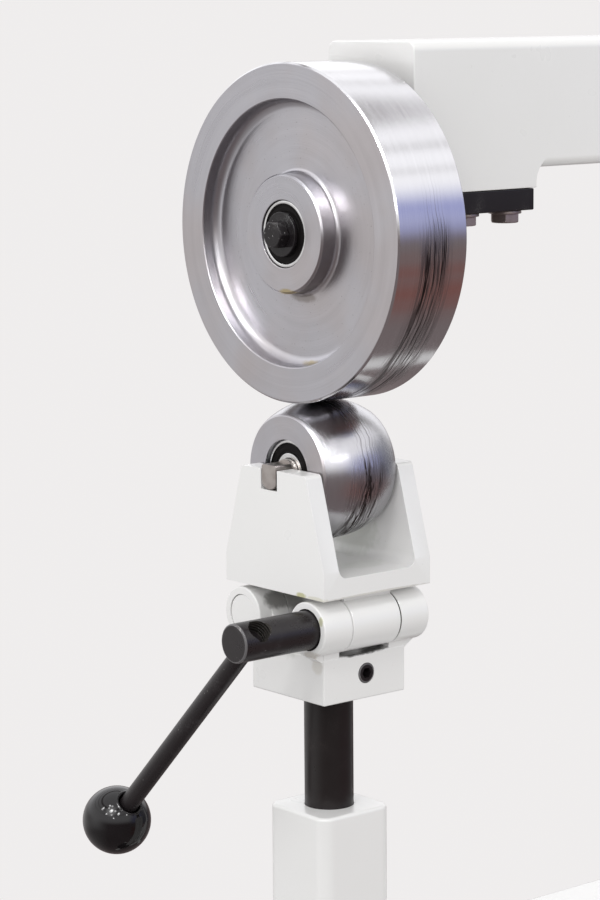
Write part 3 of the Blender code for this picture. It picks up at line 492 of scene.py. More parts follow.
class Recipe(Tree):
    """One material in the making."""

    def __init__(self, name: str) -> None:
        """Start a node material with its own principled shader."""
        self.material = bpy.data.materials.new(name)
        self.material.use_nodes = True
        super().__init__(self.material.node_tree)
        self.shader = self.nodes["Principled BSDF"]

    def stained(self, colour: Wire, stains: Sequence[Stain]) -> Wire:
        """Lay local marks over a colour."""
        place = self.place()
        for stain in stains:
            parts = [((place[axis] - middle) / far) ** 2.0
                     for axis, middle, far in zip("XYZ", stain.centre, stain.reach)]
            ragged = self.noise(place["xyz"], 260, 3) * 0.9 - 0.45
            mask = (parts[0] + parts[1] + parts[2] + ragged).fall(0.25, 1.0)
            colour = self.blend(mask * stain.strength, colour, stain.colour)
        return colour

    def round_about(self, centre: Point) -> tuple[Wire, "Callable[..., Wire]"]:
        """Prepare patterns that run round an axis along X.

        Args:
            centre: A point on the axis.

        Returns:
            The distance from the axis, and a maker of noise that is drawn out round it. The maker takes the
            value that runs across the streaks, its scale, the scale round the axis, the noise's detail and,
            if wanted, a phase.
        """
        place = self.place(centre)
        radius = self.length(place["Y"], place["Z"]) + 0.0001
        turn_y, turn_z = place["Y"] / radius, place["Z"] / radius

        def streaks(across: Wire, finer: float, drift: float, detail: float, phase: float | None = None) -> Wire:
            """Give the noise."""
            side = turn_y * drift if phase is None else turn_y * drift + phase
            vector = self.wire("ShaderNodeCombineXYZ", None, {0: across * finer, 1: side, 2: turn_z * drift})
            return self.noise(vector, 1, detail)

        return radius, streaks

    def finish(self, **values: Value) -> bpy.types.Material:
        """Set the shader's sockets, named with underscores for spaces, and give the material."""
        names = {name.lower().replace(" ", "_"): name for name in self.shader.inputs.keys()}
        for name, value in values.items():
            self.feed(self.shader.inputs[names[name]], value)
        return self.material


@dataclass(frozen=True)
class Finish:
    """What every finish has: its name and the record's slot."""

    name: str
    slot: str

    def make(self) -> bpy.types.Material:
        """Build the material."""
        raise NotImplementedError


@dataclass(frozen=True)
class Paint(Finish):
    """White gloss paint on steel: faint clouds, orange peel, dust and small chips.

    Specks are given by their cells to a metre, their reach in a cell and the share of cells that hold one.
    """

    chips: float = 0.04
    stains: tuple[Stain, ...] = ()
    dust: Triple = (520.0, 0.16, 0.05)
    chip: tuple[float, float] = (70.0, 0.030)
    colour: Triple = (0.802, 0.797, 0.788)
    shade: Triple = (0.762, 0.760, 0.742)
    dust_colour: Triple = (0.36, 0.34, 0.29)
    chip_colour: Triple = (0.14, 0.13, 0.11)
    roughness: float = 0.30

    def make(self) -> bpy.types.Material:
        """Build the material."""
        recipe = Recipe(self.name)
        xyz = recipe.place()["xyz"]
        colour = recipe.blend(recipe.noise(xyz, 7, 4).rise(0.40, 0.72) * 0.5, self.colour, self.shade)
        ragged = recipe.shift(xyz, 900, 0.0018)
        dust = recipe.specks(ragged, *self.dust)
        colour = recipe.blend(dust * 0.30, colour, self.dust_colour)
        chip = recipe.specks(ragged, *self.chip, self.chips)
        colour = recipe.stained(recipe.blend(chip * 0.8, colour, self.chip_colour), self.stains)
        normal = recipe.bump(recipe.noise(xyz, 420, 2) - chip * 0.6, 0.00012, 0.16)
        rough = recipe.noise(xyz, 30, 3) * 0.14 + (self.roughness - 0.07) + chip * 0.3
        return recipe.finish(base_color=colour, roughness=rough, normal=normal, coat_weight=0.25,
                             coat_roughness=0.12)


@dataclass(frozen=True)
class FacedSteel(Finish):
    """Steel faced on a lathe: fine rings, a satin sheen, pin specks and a few oily smears."""

    centre: Triple
    roughness: float = 0.30
    stains: tuple[Stain, ...] = ()
    cool: Triple = (0.440, 0.435, 0.462)
    warm: Triple = (0.425, 0.400, 0.408)
    pins: Triple = (420.0, 0.13, 0.20)
    pin_colour: Triple = (0.11, 0.095, 0.09)
    ring_height: float = 0.00006

    def make(self) -> bpy.types.Material:
        """Build the material."""
        recipe = Recipe(self.name)
        xyz = recipe.place()["xyz"]
        radius, streaks = recipe.round_about(self.centre)
        rings = streaks(radius, 2400.0, 1.3, 2)
        broad = streaks(radius, 220.0, 0.7, 2)
        cloud = recipe.noise(xyz, 16, 3)
        colour = recipe.blend(cloud.rise(0.38, 0.66), self.cool, self.warm)
        tone = (rings - 0.5) * 0.35 + (broad - 0.5) * 0.45 + (recipe.noise(xyz, 30, 3) - 0.5) * 0.5 + 0.5
        colour = recipe.blend(1.0, colour, recipe.blend(tone, (0.82,) * 3, (1.12,) * 3), "MULTIPLY")
        pin = recipe.specks(recipe.shift(xyz, 1500, 0.0010), *self.pins)
        colour = recipe.stained(recipe.blend(pin * 0.6, colour, self.pin_colour), self.stains)
        rough = (broad - 0.5) * 0.10 + (cloud - 0.5) * 0.12 + self.roughness + pin * 0.2
        normal = recipe.bump(rings, self.ring_height, 0.9)
        return recipe.finish(base_color=colour, roughness=rough, metallic=1.0, normal=normal)


@dataclass(frozen=True)
class RolledSteel(Finish):
    """A polished tread: brushed round, with dark wavy rolling scratches about its middle.

    A scratch has its place along the axle, its half width and its depth of tone. `even` says how much of the marks
    shows all the way round; the rest shows only on the lower half, a painted dark reflection that makes the tread
    darker towards the bottom.
    """

    centre: Triple
    colour: Triple = (0.60, 0.595, 0.61)
    roughness: float = 0.14
    phase: float = 0.0
    ridge_height: float = 0.00002
    even: float = 0.0
    scratches: tuple[Triple, ...] = ((-0.0052, 0.00035, 0.6), (-0.0026, 0.00065, 1.0), (0.0008, 0.00040, 0.8),
                                     (0.0040, 0.00060, 1.0), (0.0064, 0.00040, 0.7), (0.0090, 0.00035, 0.6))
    scratch_colour: Triple = (0.045, 0.036, 0.034)
    mark_middle: float = 0.001
    mark_reach: float = 0.016

    def make(self) -> bpy.types.Material:
        """Build the material."""
        recipe = Recipe(self.name)
        place = recipe.place(self.centre)
        along = place["X"]
        radius, streaks = recipe.round_about(self.centre)
        brush = streaks(along, 2400.0, 3.0, 3)
        broad = streaks(along, 330.0, 2.2, 3)
        patchy = streaks(along, 160.0, 1.1, 2, self.phase)
        shifted = along + (streaks(along, 25.0, 2.4, 3, self.phase) - 0.5) * 0.009
        # Painted dark reflection: the marks grow towards the bottom of the tread, so its lower half is painted
        # darker.
        low = (0.45 - place["Z"] / radius).rise(0.0, 0.7) * (1 - self.even) + self.even
        marks = patchy * 0.0
        for middle, half, depth in self.scratches:
            line = (abs(shifted - middle) / (low * 1.2 + 0.4)).fall(half * 0.3, half) * depth
            marks = recipe.math("MAXIMUM", marks, line)
        band = abs(shifted - self.mark_middle).fall(self.mark_reach * 0.4, self.mark_reach)
        fine = streaks(along, 1000.0, 4.0, 2).rise(0.40, 0.52)
        worn = patchy.rise(0.40, 0.58) * 0.6 + 0.4
        marks = marks * worn * (low * 0.95 + 0.02) + fine * band * worn * low.rise(0.35, 0.85)
        tone = (brush - 0.5) * 0.4 + (broad - 0.5) * 0.35 + 0.5
        darker, lighter = (tuple(part * share for part in self.colour) for share in (0.84, 1.12))
        colour = recipe.blend(marks, recipe.blend(tone, darker, lighter), self.scratch_colour)
        rough = (brush - 0.5) * 0.06 + (broad - 0.5) * 0.08 + self.roughness + marks * 0.25
        normal = recipe.bump(brush, self.ridge_height, 0.9)
        return recipe.finish(base_color=colour, roughness=rough, metallic=1.0, normal=normal)


@dataclass(frozen=True)
class PlainSteel(Finish):
    """Bare or plated steel with a light grain and darker handling marks."""

    colour: Triple
    shade: Triple
    roughness: float
    grain: float = 900.0

    def make(self) -> bpy.types.Material:
        """Build the material."""
        recipe = Recipe(self.name)
        xyz = recipe.place()["xyz"]
        cloud = recipe.noise(xyz, 140, 3).rise(0.35, 0.8)
        grain = recipe.noise(xyz, self.grain, 2)
        return recipe.finish(base_color=recipe.blend(cloud * 0.7, self.colour, self.shade),
                             roughness=cloud * 0.18 + (grain - 0.5) * 0.10 + self.roughness, metallic=1.0,
                             normal=recipe.bump(grain, 0.00002, 0.5))


@dataclass(frozen=True)
class BlackOxide(Finish):
    """Blackened steel: near-black with a slight sheen, rubbed paler in fine specks and streaks."""

    colour: Triple = (0.013, 0.011, 0.012)
    rubbed: Triple = (0.10, 0.095, 0.095)
    roughness: float = 0.36
    wear: float = 0.5
    specular: float = 0.30
    speck_scale: float = 260.0
    speck_share: float = 0.07
    speck_colour: Triple = (0.20, 0.19, 0.18)

    def make(self) -> bpy.types.Material:
        """Build the material."""
        recipe = Recipe(self.name)
        xyz = recipe.place()["xyz"]
        cloud = recipe.noise(xyz, 60, 4)
        grain = recipe.noise(xyz, 1100, 2)
        scuff = (cloud.rise(0.52, 0.78) * grain.rise(0.40, 0.70)) * self.wear
        speck = recipe.specks(recipe.shift(xyz, 1700, 0.0010), self.speck_scale, 0.14, self.speck_share)
        colour = recipe.blend(scuff, self.colour, self.rubbed)
        return recipe.finish(base_color=recipe.blend(speck * self.wear, colour, self.speck_colour),
                             roughness=(cloud - 0.5) * 0.24 + (grain - 0.5) * 0.10 + self.roughness,
                             normal=recipe.bump(grain + cloud, 0.00003, 0.5), specular_ior_level=self.specular)


@dataclass(frozen=True)
class Moulded(Finish):
    """Moulded plastic or rubber: even, with faint handling marks."""

    colour: Triple
    roughness: float
    grain: float
    specular: float = 0.5
    dust: Triple = (240.0, 0.10, 0.05)

    def make(self) -> bpy.types.Material:
        """Build the material."""
        recipe = Recipe(self.name)
        xyz = recipe.place()["xyz"]
        cloud = recipe.noise(xyz, 70, 4)
        fine = recipe.noise(xyz, 1500, 2)
        dust = recipe.specks(recipe.shift(xyz, 1500, 0.001), *self.dust)
        lighter = tuple(part * 1.6 + 0.002 for part in self.colour)
        colour = recipe.blend(cloud.rise(0.4, 0.8) * 0.5 + dust * 0.4, self.colour, lighter)
        return recipe.finish(base_color=colour, specular_ior_level=self.specular,
                             roughness=cloud.rise(0.45, 0.85) * 0.06 + dust * 0.2 + self.roughness,
                             normal=recipe.bump(fine, 0.00003 * self.grain + 0.000001, 0.6))


WHITE = Paint("white_gloss", "white_paint")
# OIL, FILM and OLIVE are stains; the third colour is dirt with painted shade, for the dark places under the yoke.
OIL, FILM, DIRT_AND_SHADE, OLIVE = (0.34, 0.27, 0.12), (0.36, 0.345, 0.27), (0.060, 0.055, 0.047), (0.40, 0.39, 0.12)
HEAD_WHITE = Paint("white_head", "white_paint", 0.07, (
    Stain((-0.0411, -0.0422, 0.926), (0.0015, 0.0022, 0.0034), (0.40, 0.40, 0.15), 0.6),
    Stain((-0.0411, -0.034, 0.9035), (0.006, 0.009, 0.0040), (0.42, 0.37, 0.31), 0.55),
    # Painted shade: the block's top in the gap under the barrels is darkened.
    Stain((-0.0010, -0.0220, 0.9000), (0.027, 0.0170, 0.0022), (0.022, 0.018, 0.014), 1.0),
    Stain((-0.0010, -0.0220, 0.9000), (0.027, 0.0170, 0.0022), (0.020, 0.017, 0.014), 1.0),
    # Dirt and painted shade under the yoke, by the left front lug.
    Stain((-0.0250, 0.0170, 0.9290), (0.0125, 0.0065, 0.0085), DIRT_AND_SHADE, 0.72),
    # Greenish-grey painted shade on the block between the front lugs, under the yoke.
    Stain((-0.036, 0.0, 0.905), (0.010, 0.020, 0.0120), (0.40, 0.41, 0.36), 0.50),
    Stain((-0.0321, -0.028, 0.895), (0.002, 0.006, 0.0060), (0.50, 0.46, 0.38), 0.35)))
YOKE_WHITE = Paint("white_yoke", "white_paint", 0.06, (
    # Dirt and painted shade under the yoke, by the left barrel.
    Stain((-0.0140, 0.0165, 0.9275), (0.0120, 0.0070, 0.0090), DIRT_AND_SHADE, 0.72),
    Stain((-0.0419, -0.0250, 0.9390), (0.006, 0.0060, 0.0026), OLIVE, 0.75),
    Stain((-0.0419, -0.0390, 0.9390), (0.006, 0.0100, 0.0018), (0.50, 0.48, 0.28), 0.40),
    # Greenish-grey painted shade on the rear ear's inner face and on the floor between the ears.
    Stain((0.028, 0.010, 0.965), (0.012, 0.026, 0.0200), (0.50, 0.53, 0.46), 0.45),
    Stain((0.010, -0.020, 0.9504), (0.020, 0.012, 0.0030), (0.55, 0.57, 0.52), 0.35),
    # Painted shade along the lower edge of the yoke's -Y side, over the eccentric's barrel.
    Stain((0.0, -0.0458, 0.9385), (0.05, 0.004, 0.0014), (0.42, 0.40, 0.34), 0.50)))
WHEEL_STAINS = (Stain((-0.0325, -0.0035, 1.1155), (0.008, 0.0105, 0.0030), OIL, 0.8),
                Stain((-0.022, -0.0035, 1.1125), (0.008, 0.014, 0.0040), (0.13, 0.11, 0.09), 0.55),
                Stain((-0.018, -0.016, 1.0735), (0.010, 0.015, 0.0030), OIL, 0.7),
                Stain((-0.0265, -0.030, 1.068), (0.004, 0.016, 0.010), FILM, 0.45),
                Stain((-0.0265, -0.040, 1.078), (0.004, 0.014, 0.016), FILM, 0.30))
BLACK = BlackOxide("black_oxide_steel", "black_oxide")
POST_BLACK = BlackOxide("post_black", "black_oxide", (0.012, 0.009, 0.009), (0.07, 0.055, 0.05), 0.33, 0.35)
SHAFT_BLACK = BlackOxide("shaft_black", "black_oxide", (0.017, 0.014, 0.015), (0.10, 0.095, 0.10), 0.30, 0.55)
WASHER_BLACK = BlackOxide("oiled_black_washer", "black_oxide", (0.012, 0.010, 0.011), (0.10,) * 3, 0.20, 1.2,
                          0.25, 480.0, 0.16, (0.60, 0.59, 0.59))
BOLT_BLACK = BlackOxide("dusty_black_bolt", "black_oxide", (0.012, 0.010, 0.011), (0.13, 0.125, 0.125), 0.30,
                        1.6, 0.22, 470.0, 0.55, (0.66, 0.64, 0.64))
# Worn black edges with a painted highlight: pale rims on the set screw and on the shaft's front end.
WORN_AND_HIGHLIT_EDGE = BlackOxide("worn_and_highlit_black_edge", "black_oxide", (0.12, 0.115, 0.118), (0.62, 0.60, 0.59), 0.30, 1.6)
# Painted shade: near-black laid in narrow gaps and thread roots, where shade falls.
RECESS_SHADE = BlackOxide("painted_recess_shade", "black_oxide", (0.020, 0.017, 0.014), (0.06, 0.05, 0.04), 0.6, 0.6, 0.2)
THREAD = PlainSteel("oily_thread", "black_oxide", (0.13, 0.12, 0.12), (0.07, 0.06, 0.06), 0.40)
DARK_AXLE = PlainSteel("worn_axle_steel", "worn_steel", (0.40, 0.37, 0.35), (0.24, 0.21, 0.195), 0.32)
RACE = PlainSteel("bearing_race", "bearing_steel", (0.64,) * 3, (0.46, 0.45, 0.44), 0.16, 1400.0)
BOLT_STEEL = PlainSteel("dull_plated_bolt", "zinc_plate", (0.40, 0.35, 0.33), (0.20, 0.165, 0.155), 0.36)
BORE_EDGE = PlainSteel("bare_bore_edge", "steel", (0.78, 0.77, 0.76), (0.60, 0.58, 0.56), 0.30)
SEAL = Moulded("seal_rubber", "black_rubber", (0.007, 0.006, 0.006), 0.42, 1.0, 0.05)
KNOB = Moulded("knob_plastic", "black_plastic", (0.0055, 0.0045, 0.005), 0.05, 0.0, 0.35)
CAP = Moulded("cap_plastic", "cap_plastic", (0.026, 0.026, 0.027), 0.45, 3.0)


class Assembly:
    """A sub-assembly: makes pieces, dresses them and sets them on the frame."""

    _made: dict[Finish, bpy.types.Material] = {}
    _body = {node: body for body, nodes in frame["record"]["behaviour"]["bodies"].items() for node in nodes}

    @classmethod
    def dress(cls, thing: bpy.types.Object, finish: Finish) -> None:
        """Give an object its only finish. Each finish's material is built once."""
        if finish not in cls._made:
            cls._made[finish] = finish.make()
        thing.data.materials.clear()
        thing.data.materials.append(cls._made[finish])

    def put(self, solid: Solid, node: str, finish: Finish, sharp: float = 32) -> bpy.types.Object:
        """Finish a piece and set it in the frame.

        Args:
            solid: The piece's mesh in the making.
            node: The frame's node that it stands for, and its name.
            finish: Its finish.
            sharp: Edges sharper than this many degrees stay sharp.

        Returns:
            The piece.
        """
        piece = solid.piece(node, sharp)
        self.dress(piece, finish)
        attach(piece, self._body[node])
        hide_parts(node)
        LOG.info("%s: %d faces", node, len(piece.data.polygons))
        return piece

    @classmethod
    def recoat(cls, piece: bpy.types.Object, finish: Finish, wanted: Callable[[Vector, Vector], bool]) -> None:
        """Give a second finish to the faces of a piece that a rule picks.

        Args:
            piece: The piece.
            finish: The second finish.
            wanted: Takes a face's middle and its normal, and says whether it is one.
        """
        if finish not in cls._made:
            cls._made[finish] = finish.make()
        piece.data.materials.append(cls._made[finish])
        for face in piece.data.polygons:
            if wanted(face.center, face.normal):
                face.material_index = len(piece.data.materials) - 1

    def build(self) -> None:
        """Make every piece of the sub-assembly."""
        raise NotImplementedError


@dataclass
class Bearings(Assembly):
    """The two sealed ball bearings in a wheel, and the spacer between their inner rings."""

    prefix: str
    centre: Triple
    face: float
    spacer: float
    bore: float = 0.0088
    inner: float = 0.0117
    race: float = 0.0178
    outer: float = 0.0197
    width: float = 0.012
    shield: float = 0.0012
    seal_inset: float = 0.0006
    rounding: float = 0.0005

    def build(self) -> None:
        """Make the rings and the seal of each bearing."""
        low, high = self.inner + SEAT_GAP, self.race - SEAT_GAP
        rib = (low + high) / 2
        face, back, top = self.face, self.face - self.width, self.face - self.seal_inset
        lip = back + self.shield
        shapes = (
            ("outer_ring", RACE, self.rounding,
             [(self.outer, face), (self.outer, back), (low, back), (low, lip), (self.race, lip),
              (self.race, face)]),
            ("inner_ring", RACE, self.rounding,
             [(self.inner, face), (self.inner, back), (self.bore, back), (self.bore, face)]),
            ("seal", SEAL, 0.00008,
             [(high, top), (high, top - self.shield), (low, top - self.shield), (low, top), (low + 0.0007, top),
              (low + 0.0009, top - 0.0003), (low + 0.0014, top - 0.0003), (low + 0.0016, top),
              (rib + 0.0006, top), (rib + 0.0008, top - 0.0002), (high - 0.0007, top - 0.0002),
              (high - 0.0005, top)]))
        for end, side in (("front", -1), ("rear", 1)):
            for part, finish, rounding, profile in shapes:
                outline = [(radius, side * along) for radius, along in profile]
                turned = Solid.lathe(outline, self.centre, steps=96, closed=True).soften(rounding)
                self.put(turned, f"{self.prefix}_bearing_{end}_{part}", finish)

    def space(self) -> None:
        """Make the spacer."""
        half = self.face - self.width - SEAT_GAP
        spacer = Solid.ring(self.bore, self.spacer, -half, half, self.centre).soften(0.0002)
        self.put(spacer, f"{self.prefix}_spacer", DARK_AXLE)


def hex_bolt(centre: Point, facing: Facing, seat: float, depth: float, width: float, tip: float,
             turn: float) -> Solid:
    """Model a hexagon bolt with a chamfered head.

    Args:
        centre: The bolt's axis.
        facing: The way of its axis.
        seat: Where the head sits, which reaches down the axis from there.
        depth: The head's depth.
        width: The head's width across its flats.
        tip: Where the shank ends.
        turn: How far the head is turned, in degrees.

    Returns:
        The bolt.
    """
    top, corner, shank = seat - depth, width / sqrt(3), 0.005
    crown, reach, slope = width * 0.48, corner * 1.1, 0.58
    head = Solid.prism(arc(ORIGIN, corner, turn, turn + 300, 5), top, seat, centre, facing)
    rounded = [(0, seat + OVERLAP), (reach, seat + OVERLAP), (reach, top + (reach - crown) * slope),
               (crown, top), (0, top)]
    head.meet(Solid.lathe(rounded, centre, facing, 72)).soften(0.00018, 2, 20)
    return head.join(Solid.rod(shank, seat - 0.0005, tip, centre, facing, 40).soften(0.0004))


@dataclass
class UpperWheel(Assembly):
    """The large flat-faced wheel with its bearings, axle, washer and bolt."""

    centre: Triple = (-0.0045, 0.0, 1.150)
    radius: float = 0.100
    half_width: float = 0.0265
    chamfer: float = 0.0011
    rim: float = 0.0785
    rim_edge: float = 0.0006
    dish_floor: float = 0.0155
    dish_fillet: float = 0.006
    hub_fillet: float = 0.003
    hub: float = 0.0353
    hub_face: float = 0.0280
    hub_chamfer: float = 0.0012
    bearing_seat: float = 0.020
    bearing_face: float = 0.0272
    bearing_depth: float = 0.0123
    shoulder: float = 0.017
    axle: float = 0.0085
    axle_collar: float = 0.0115
    axle_thread: float = 0.010
    bolt_bore: float = 0.0053
    washer: float = 0.0132
    washer_depth: float = 0.0025
    washer_edge: float = 0.0005
    bolt_depth: float = 0.0064
    bolt_flats: float = 0.0149

    def _side(self) -> Profile:
        """Give the outline of one side, from the tread to the bore's shoulder."""
        floor, fillet, face = self.dish_floor, self.dish_fillet, -self.hub_face
        seat, reach = self.bearing_face - self.bearing_depth, self.bearing_seat
        side = [(self.radius, -self.half_width + self.chamfer), (self.radius - self.chamfer, -self.half_width),
                (self.rim + self.rim_edge, -self.half_width), (self.rim, -self.half_width + self.rim_edge)]
        side += arc((self.rim - fillet, -floor - fillet), fillet, 0, 90, 8)
        side += arc((self.hub + self.hub_fillet, -floor - self.hub_fillet), self.hub_fillet, 90, 180, 5)
        return side + [(self.hub, face + self.hub_chamfer), (self.hub - self.hub_chamfer, face),
                       (reach + 0.0003, face), (reach, face + 0.0003), (reach, -seat), (self.shoulder, -seat)]

    def build(self) -> None:
        """Make the wheel and all that turns or holds it."""
        front = self._side()
        outline = front + [(radius, -along) for radius, along in reversed(front)]
        solid = Solid.lathe(outline, self.centre, steps=200, closed=True).soften(0.00025, 2, 30)
        wheel = self.put(solid, "upper_wheel", FacedSteel("faced_wheel_steel", "turned_steel", self.centre,
                                                          stains=WHEEL_STAINS))
        limit = self.radius - self.chamfer * 0.9
        self.recoat(wheel, RolledSteel("rolled_tread", "turned_steel", self.centre),
                    lambda face, normal: off_axis(face, self.centre) > limit)
        bearings = Bearings("upper", self.centre, self.bearing_face, 0.0117)
        bearings.build()
        near, far = -self.bearing_face - SEAT_GAP, self.bearing_face + SEAT_GAP
        plate, end = self.half_width + 0.003 - SEAT_GAP, self.half_width + 0.027
        outline = [(0, end), (self.axle_thread, end), (self.axle_thread, plate), (self.axle_collar, plate),
                   (self.axle_collar, far), (self.axle, far), (self.axle, SEAT_GAP - self.bearing_face),
                   (self.bolt_bore, SEAT_GAP - self.bearing_face), (self.bolt_bore, -0.0016), (0, -0.0016)]
        self.put(Solid.lathe(outline, self.centre).soften(0.0002), "upper_axle", DARK_AXLE)
        washer = Solid.ring(self.bolt_bore, self.washer, near - self.washer_depth, near, self.centre, steps=96)
        self.put(washer.soften(self.washer_edge, 3), "axle_washer", WASHER_BLACK)
        bolt = hex_bolt(self.centre, Facing.X, near - self.washer_depth - SEAT_GAP, self.bolt_depth,
                        self.bolt_flats, -0.0022, 0)
        self.put(bolt, "axle_bolt", BOLT_BLACK)
        bearings.space()


@dataclass
class AxleBracket(Assembly):
    """The black bracket under the nose, with its bolts and washers."""

    front: float = 0.025
    rear: float = 0.1343
    half: float = 0.039
    top: float = 1.1707
    bottom: float = 1.1575
    face_rear: float = 0.049
    face_bottom: float = 1.120
    rib_rear: float = 0.072
    rib_outer: float = 0.033
    rib_inner: float = 0.023
    axle_height: float = 1.150
    axle_bore: float = 0.0103
    bore_end: float = 0.060
    bolt_rows: tuple[float, float] = (0.0855, 0.121)
    bolt_half: float = 0.027
    bolt_bore: float = 0.0053
    bolt_depth: float = 0.0056
    bolt_flats: float = 0.0162
    bolt_tip: float = 1.191
    washer: float = 0.0102
    washer_bore: float = 0.0045
    washer_depth: float = 0.0018
    washer_edge: float = 0.0003
    edge: float = 0.0007

    def build(self) -> None:
        """Make the bracket and its four bolts."""
        above, behind = self.bottom + OVERLAP, self.face_rear - OVERLAP
        solid = Solid.box((self.front, -self.half, self.bottom), (self.rear, self.half, self.top))
        hanging = Solid.box((self.front, -self.half, self.face_bottom), (self.face_rear, self.half, above))
        solid.soften(self.edge).join(hanging.soften(self.edge))
        rib = [(behind, above), (behind, self.face_bottom), (self.face_rear, self.face_bottom),
               (self.rib_rear, self.bottom), (self.rib_rear, above)]
        for side in (-1, 1):
            solid.join(Solid.prism(rib, side * self.rib_inner, side * self.rib_outer, facing=Facing.Y))
        solid.cut(Solid.rod(self.axle_bore, 0, self.bore_end, (0, 0, self.axle_height), steps=64))
        places = [(x, y, 0) for x in self.bolt_rows for y in (-self.bolt_half, self.bolt_half)]
        for place in places:
            solid.cut(Solid.rod(self.bolt_bore, self.bottom - DRILL, self.top + DRILL, place, Facing.Z, 32))
        self.put(solid, "axle_bracket", BLACK)
        seat = self.bottom - SEAT_GAP
        under = seat - self.washer_depth
        for number, place in enumerate(places, 1):
            washer = Solid.ring(self.washer_bore, self.washer, under, seat, place, Facing.Z)
            washer.soften(self.washer_edge)
            bolt = hex_bolt(place, Facing.Z, under, self.bolt_depth, self.bolt_flats, self.bolt_tip, 50)
            self.put(bolt.join(washer), f"bracket_bolt_{number}", BOLT_STEEL)


@dataclass
class Frame(Assembly):
    """The square-tube C-frame, its nose plate and its stand."""

    side: float = 0.078
    corner: float = 0.006
    arm_middle: float = 1.222
    arm_front: float = 0.036
    plate: float = 0.005
    rear: float = 0.6835
    rear_x: float = 0.6445
    lower_middle: float = 0.647
    lower_front: float = 0.0276
    nose_bottom: float = 1.171
    nose_rear: float = 0.1365
    nose_slope: tuple[tuple[float, float], ...] = ((0.0, 0.0), (-0.0002, 0.0040), (0.0006, 0.0080),
                                                   (0.0026, 0.0120), (0.0056, 0.0152), (0.0086, 0.0180))
    leg: float = 0.060
    leg_x: float = 0.230
    foot_half: float = 0.260
    cap_depth: float = 0.004
    cap_plug: float = 0.014
    wall: float = 0.0043
    plate_edge: float = 0.0010
    nose_edge: float = 0.0006
    tube_edge: float = 0.0006
    cap_edge: float = 0.0012

    def build(self) -> None:
        """Make the tubes, the plates, the nose and the foot caps."""
        half = self.side / 2
        square = rounded_square(self.side, self.corner)
        arm, start, end = (0, 0, self.arm_middle), self.arm_front + self.plate, self.rear - self.plate
        self.put(Solid.prism(square, start, end, arm), "upper_arm", WHITE)
        for name, near, far in (("arm_front_plate", start, self.arm_front), ("arm_rear_plate", end, self.rear)):
            self.put(Solid.prism(square, near, far, arm).soften_end(self.plate_edge, 3, 0, far), name, WHITE)
        outline = [(self.arm_front, self.nose_bottom)]
        outline += [(self.nose_rear + back, self.nose_bottom + up) for back, up in self.nose_slope]
        outline += [(self.arm_front, self.nose_bottom + self.nose_slope[-1][1])]
        nose = Solid.prism(outline, -half, half, facing=Facing.Y)
        nose.soften_end(self.nose_edge, 2, 2, self.nose_bottom)
        self.put(nose.cut(Solid.prism(square, 0.0, 0.2, arm)), "arm_nose", WHITE)
        low, behind = self.side + SEAT_GAP, self.rear_x - half - SEAT_GAP
        self._tube("rear_column", self.side, low, self.arm_middle - half - SEAT_GAP, (self.rear_x, 0, 0), Facing.Z)
        self._tube("lower_arm", self.side, self.lower_front, behind, (0, 0, self.lower_middle), Facing.X)
        self._tube("front_leg", self.leg, low, self.lower_middle - half - SEAT_GAP, (self.leg_x, 0, 0), Facing.Z)
        self._tube("base_beam", self.side, half + SEAT_GAP, behind, (0, 0, half), Facing.X)
        plug = rounded_square(self.side - 2 * self.wall, 0.002, 3)
        for name, x in (("front_foot", 0.0), ("rear_foot", self.rear_x)):
            self._tube(name, self.side, -self.foot_half, self.foot_half, (x, 0, half), Facing.Y)
            for end_name, side in (("left", -1), ("right", 1)):
                near = side * (self.foot_half + SEAT_GAP)
                cap = Solid.prism(square, near, near + side * self.cap_depth, (x, 0, half), Facing.Y)
                cap.soften(self.cap_edge, 3, 60)
                cap.join(Solid.prism(plug, near + side * OVERLAP, near - side * self.cap_plug, (x, 0, half),
                                     Facing.Y))
                self.put(cap, f"{name}_cap_{end_name}", CAP)

    def _tube(self, name: str, side: float, low: float, high: float, centre: Point, facing: Facing) -> None:
        """Make a square tube, closed at both ends, between two places on its axis."""
        tube = Solid.prism(rounded_square(side, self.corner), low, high, centre, facing)
        self.put(tube.soften(self.tube_edge, 2, 60), name, WHITE)


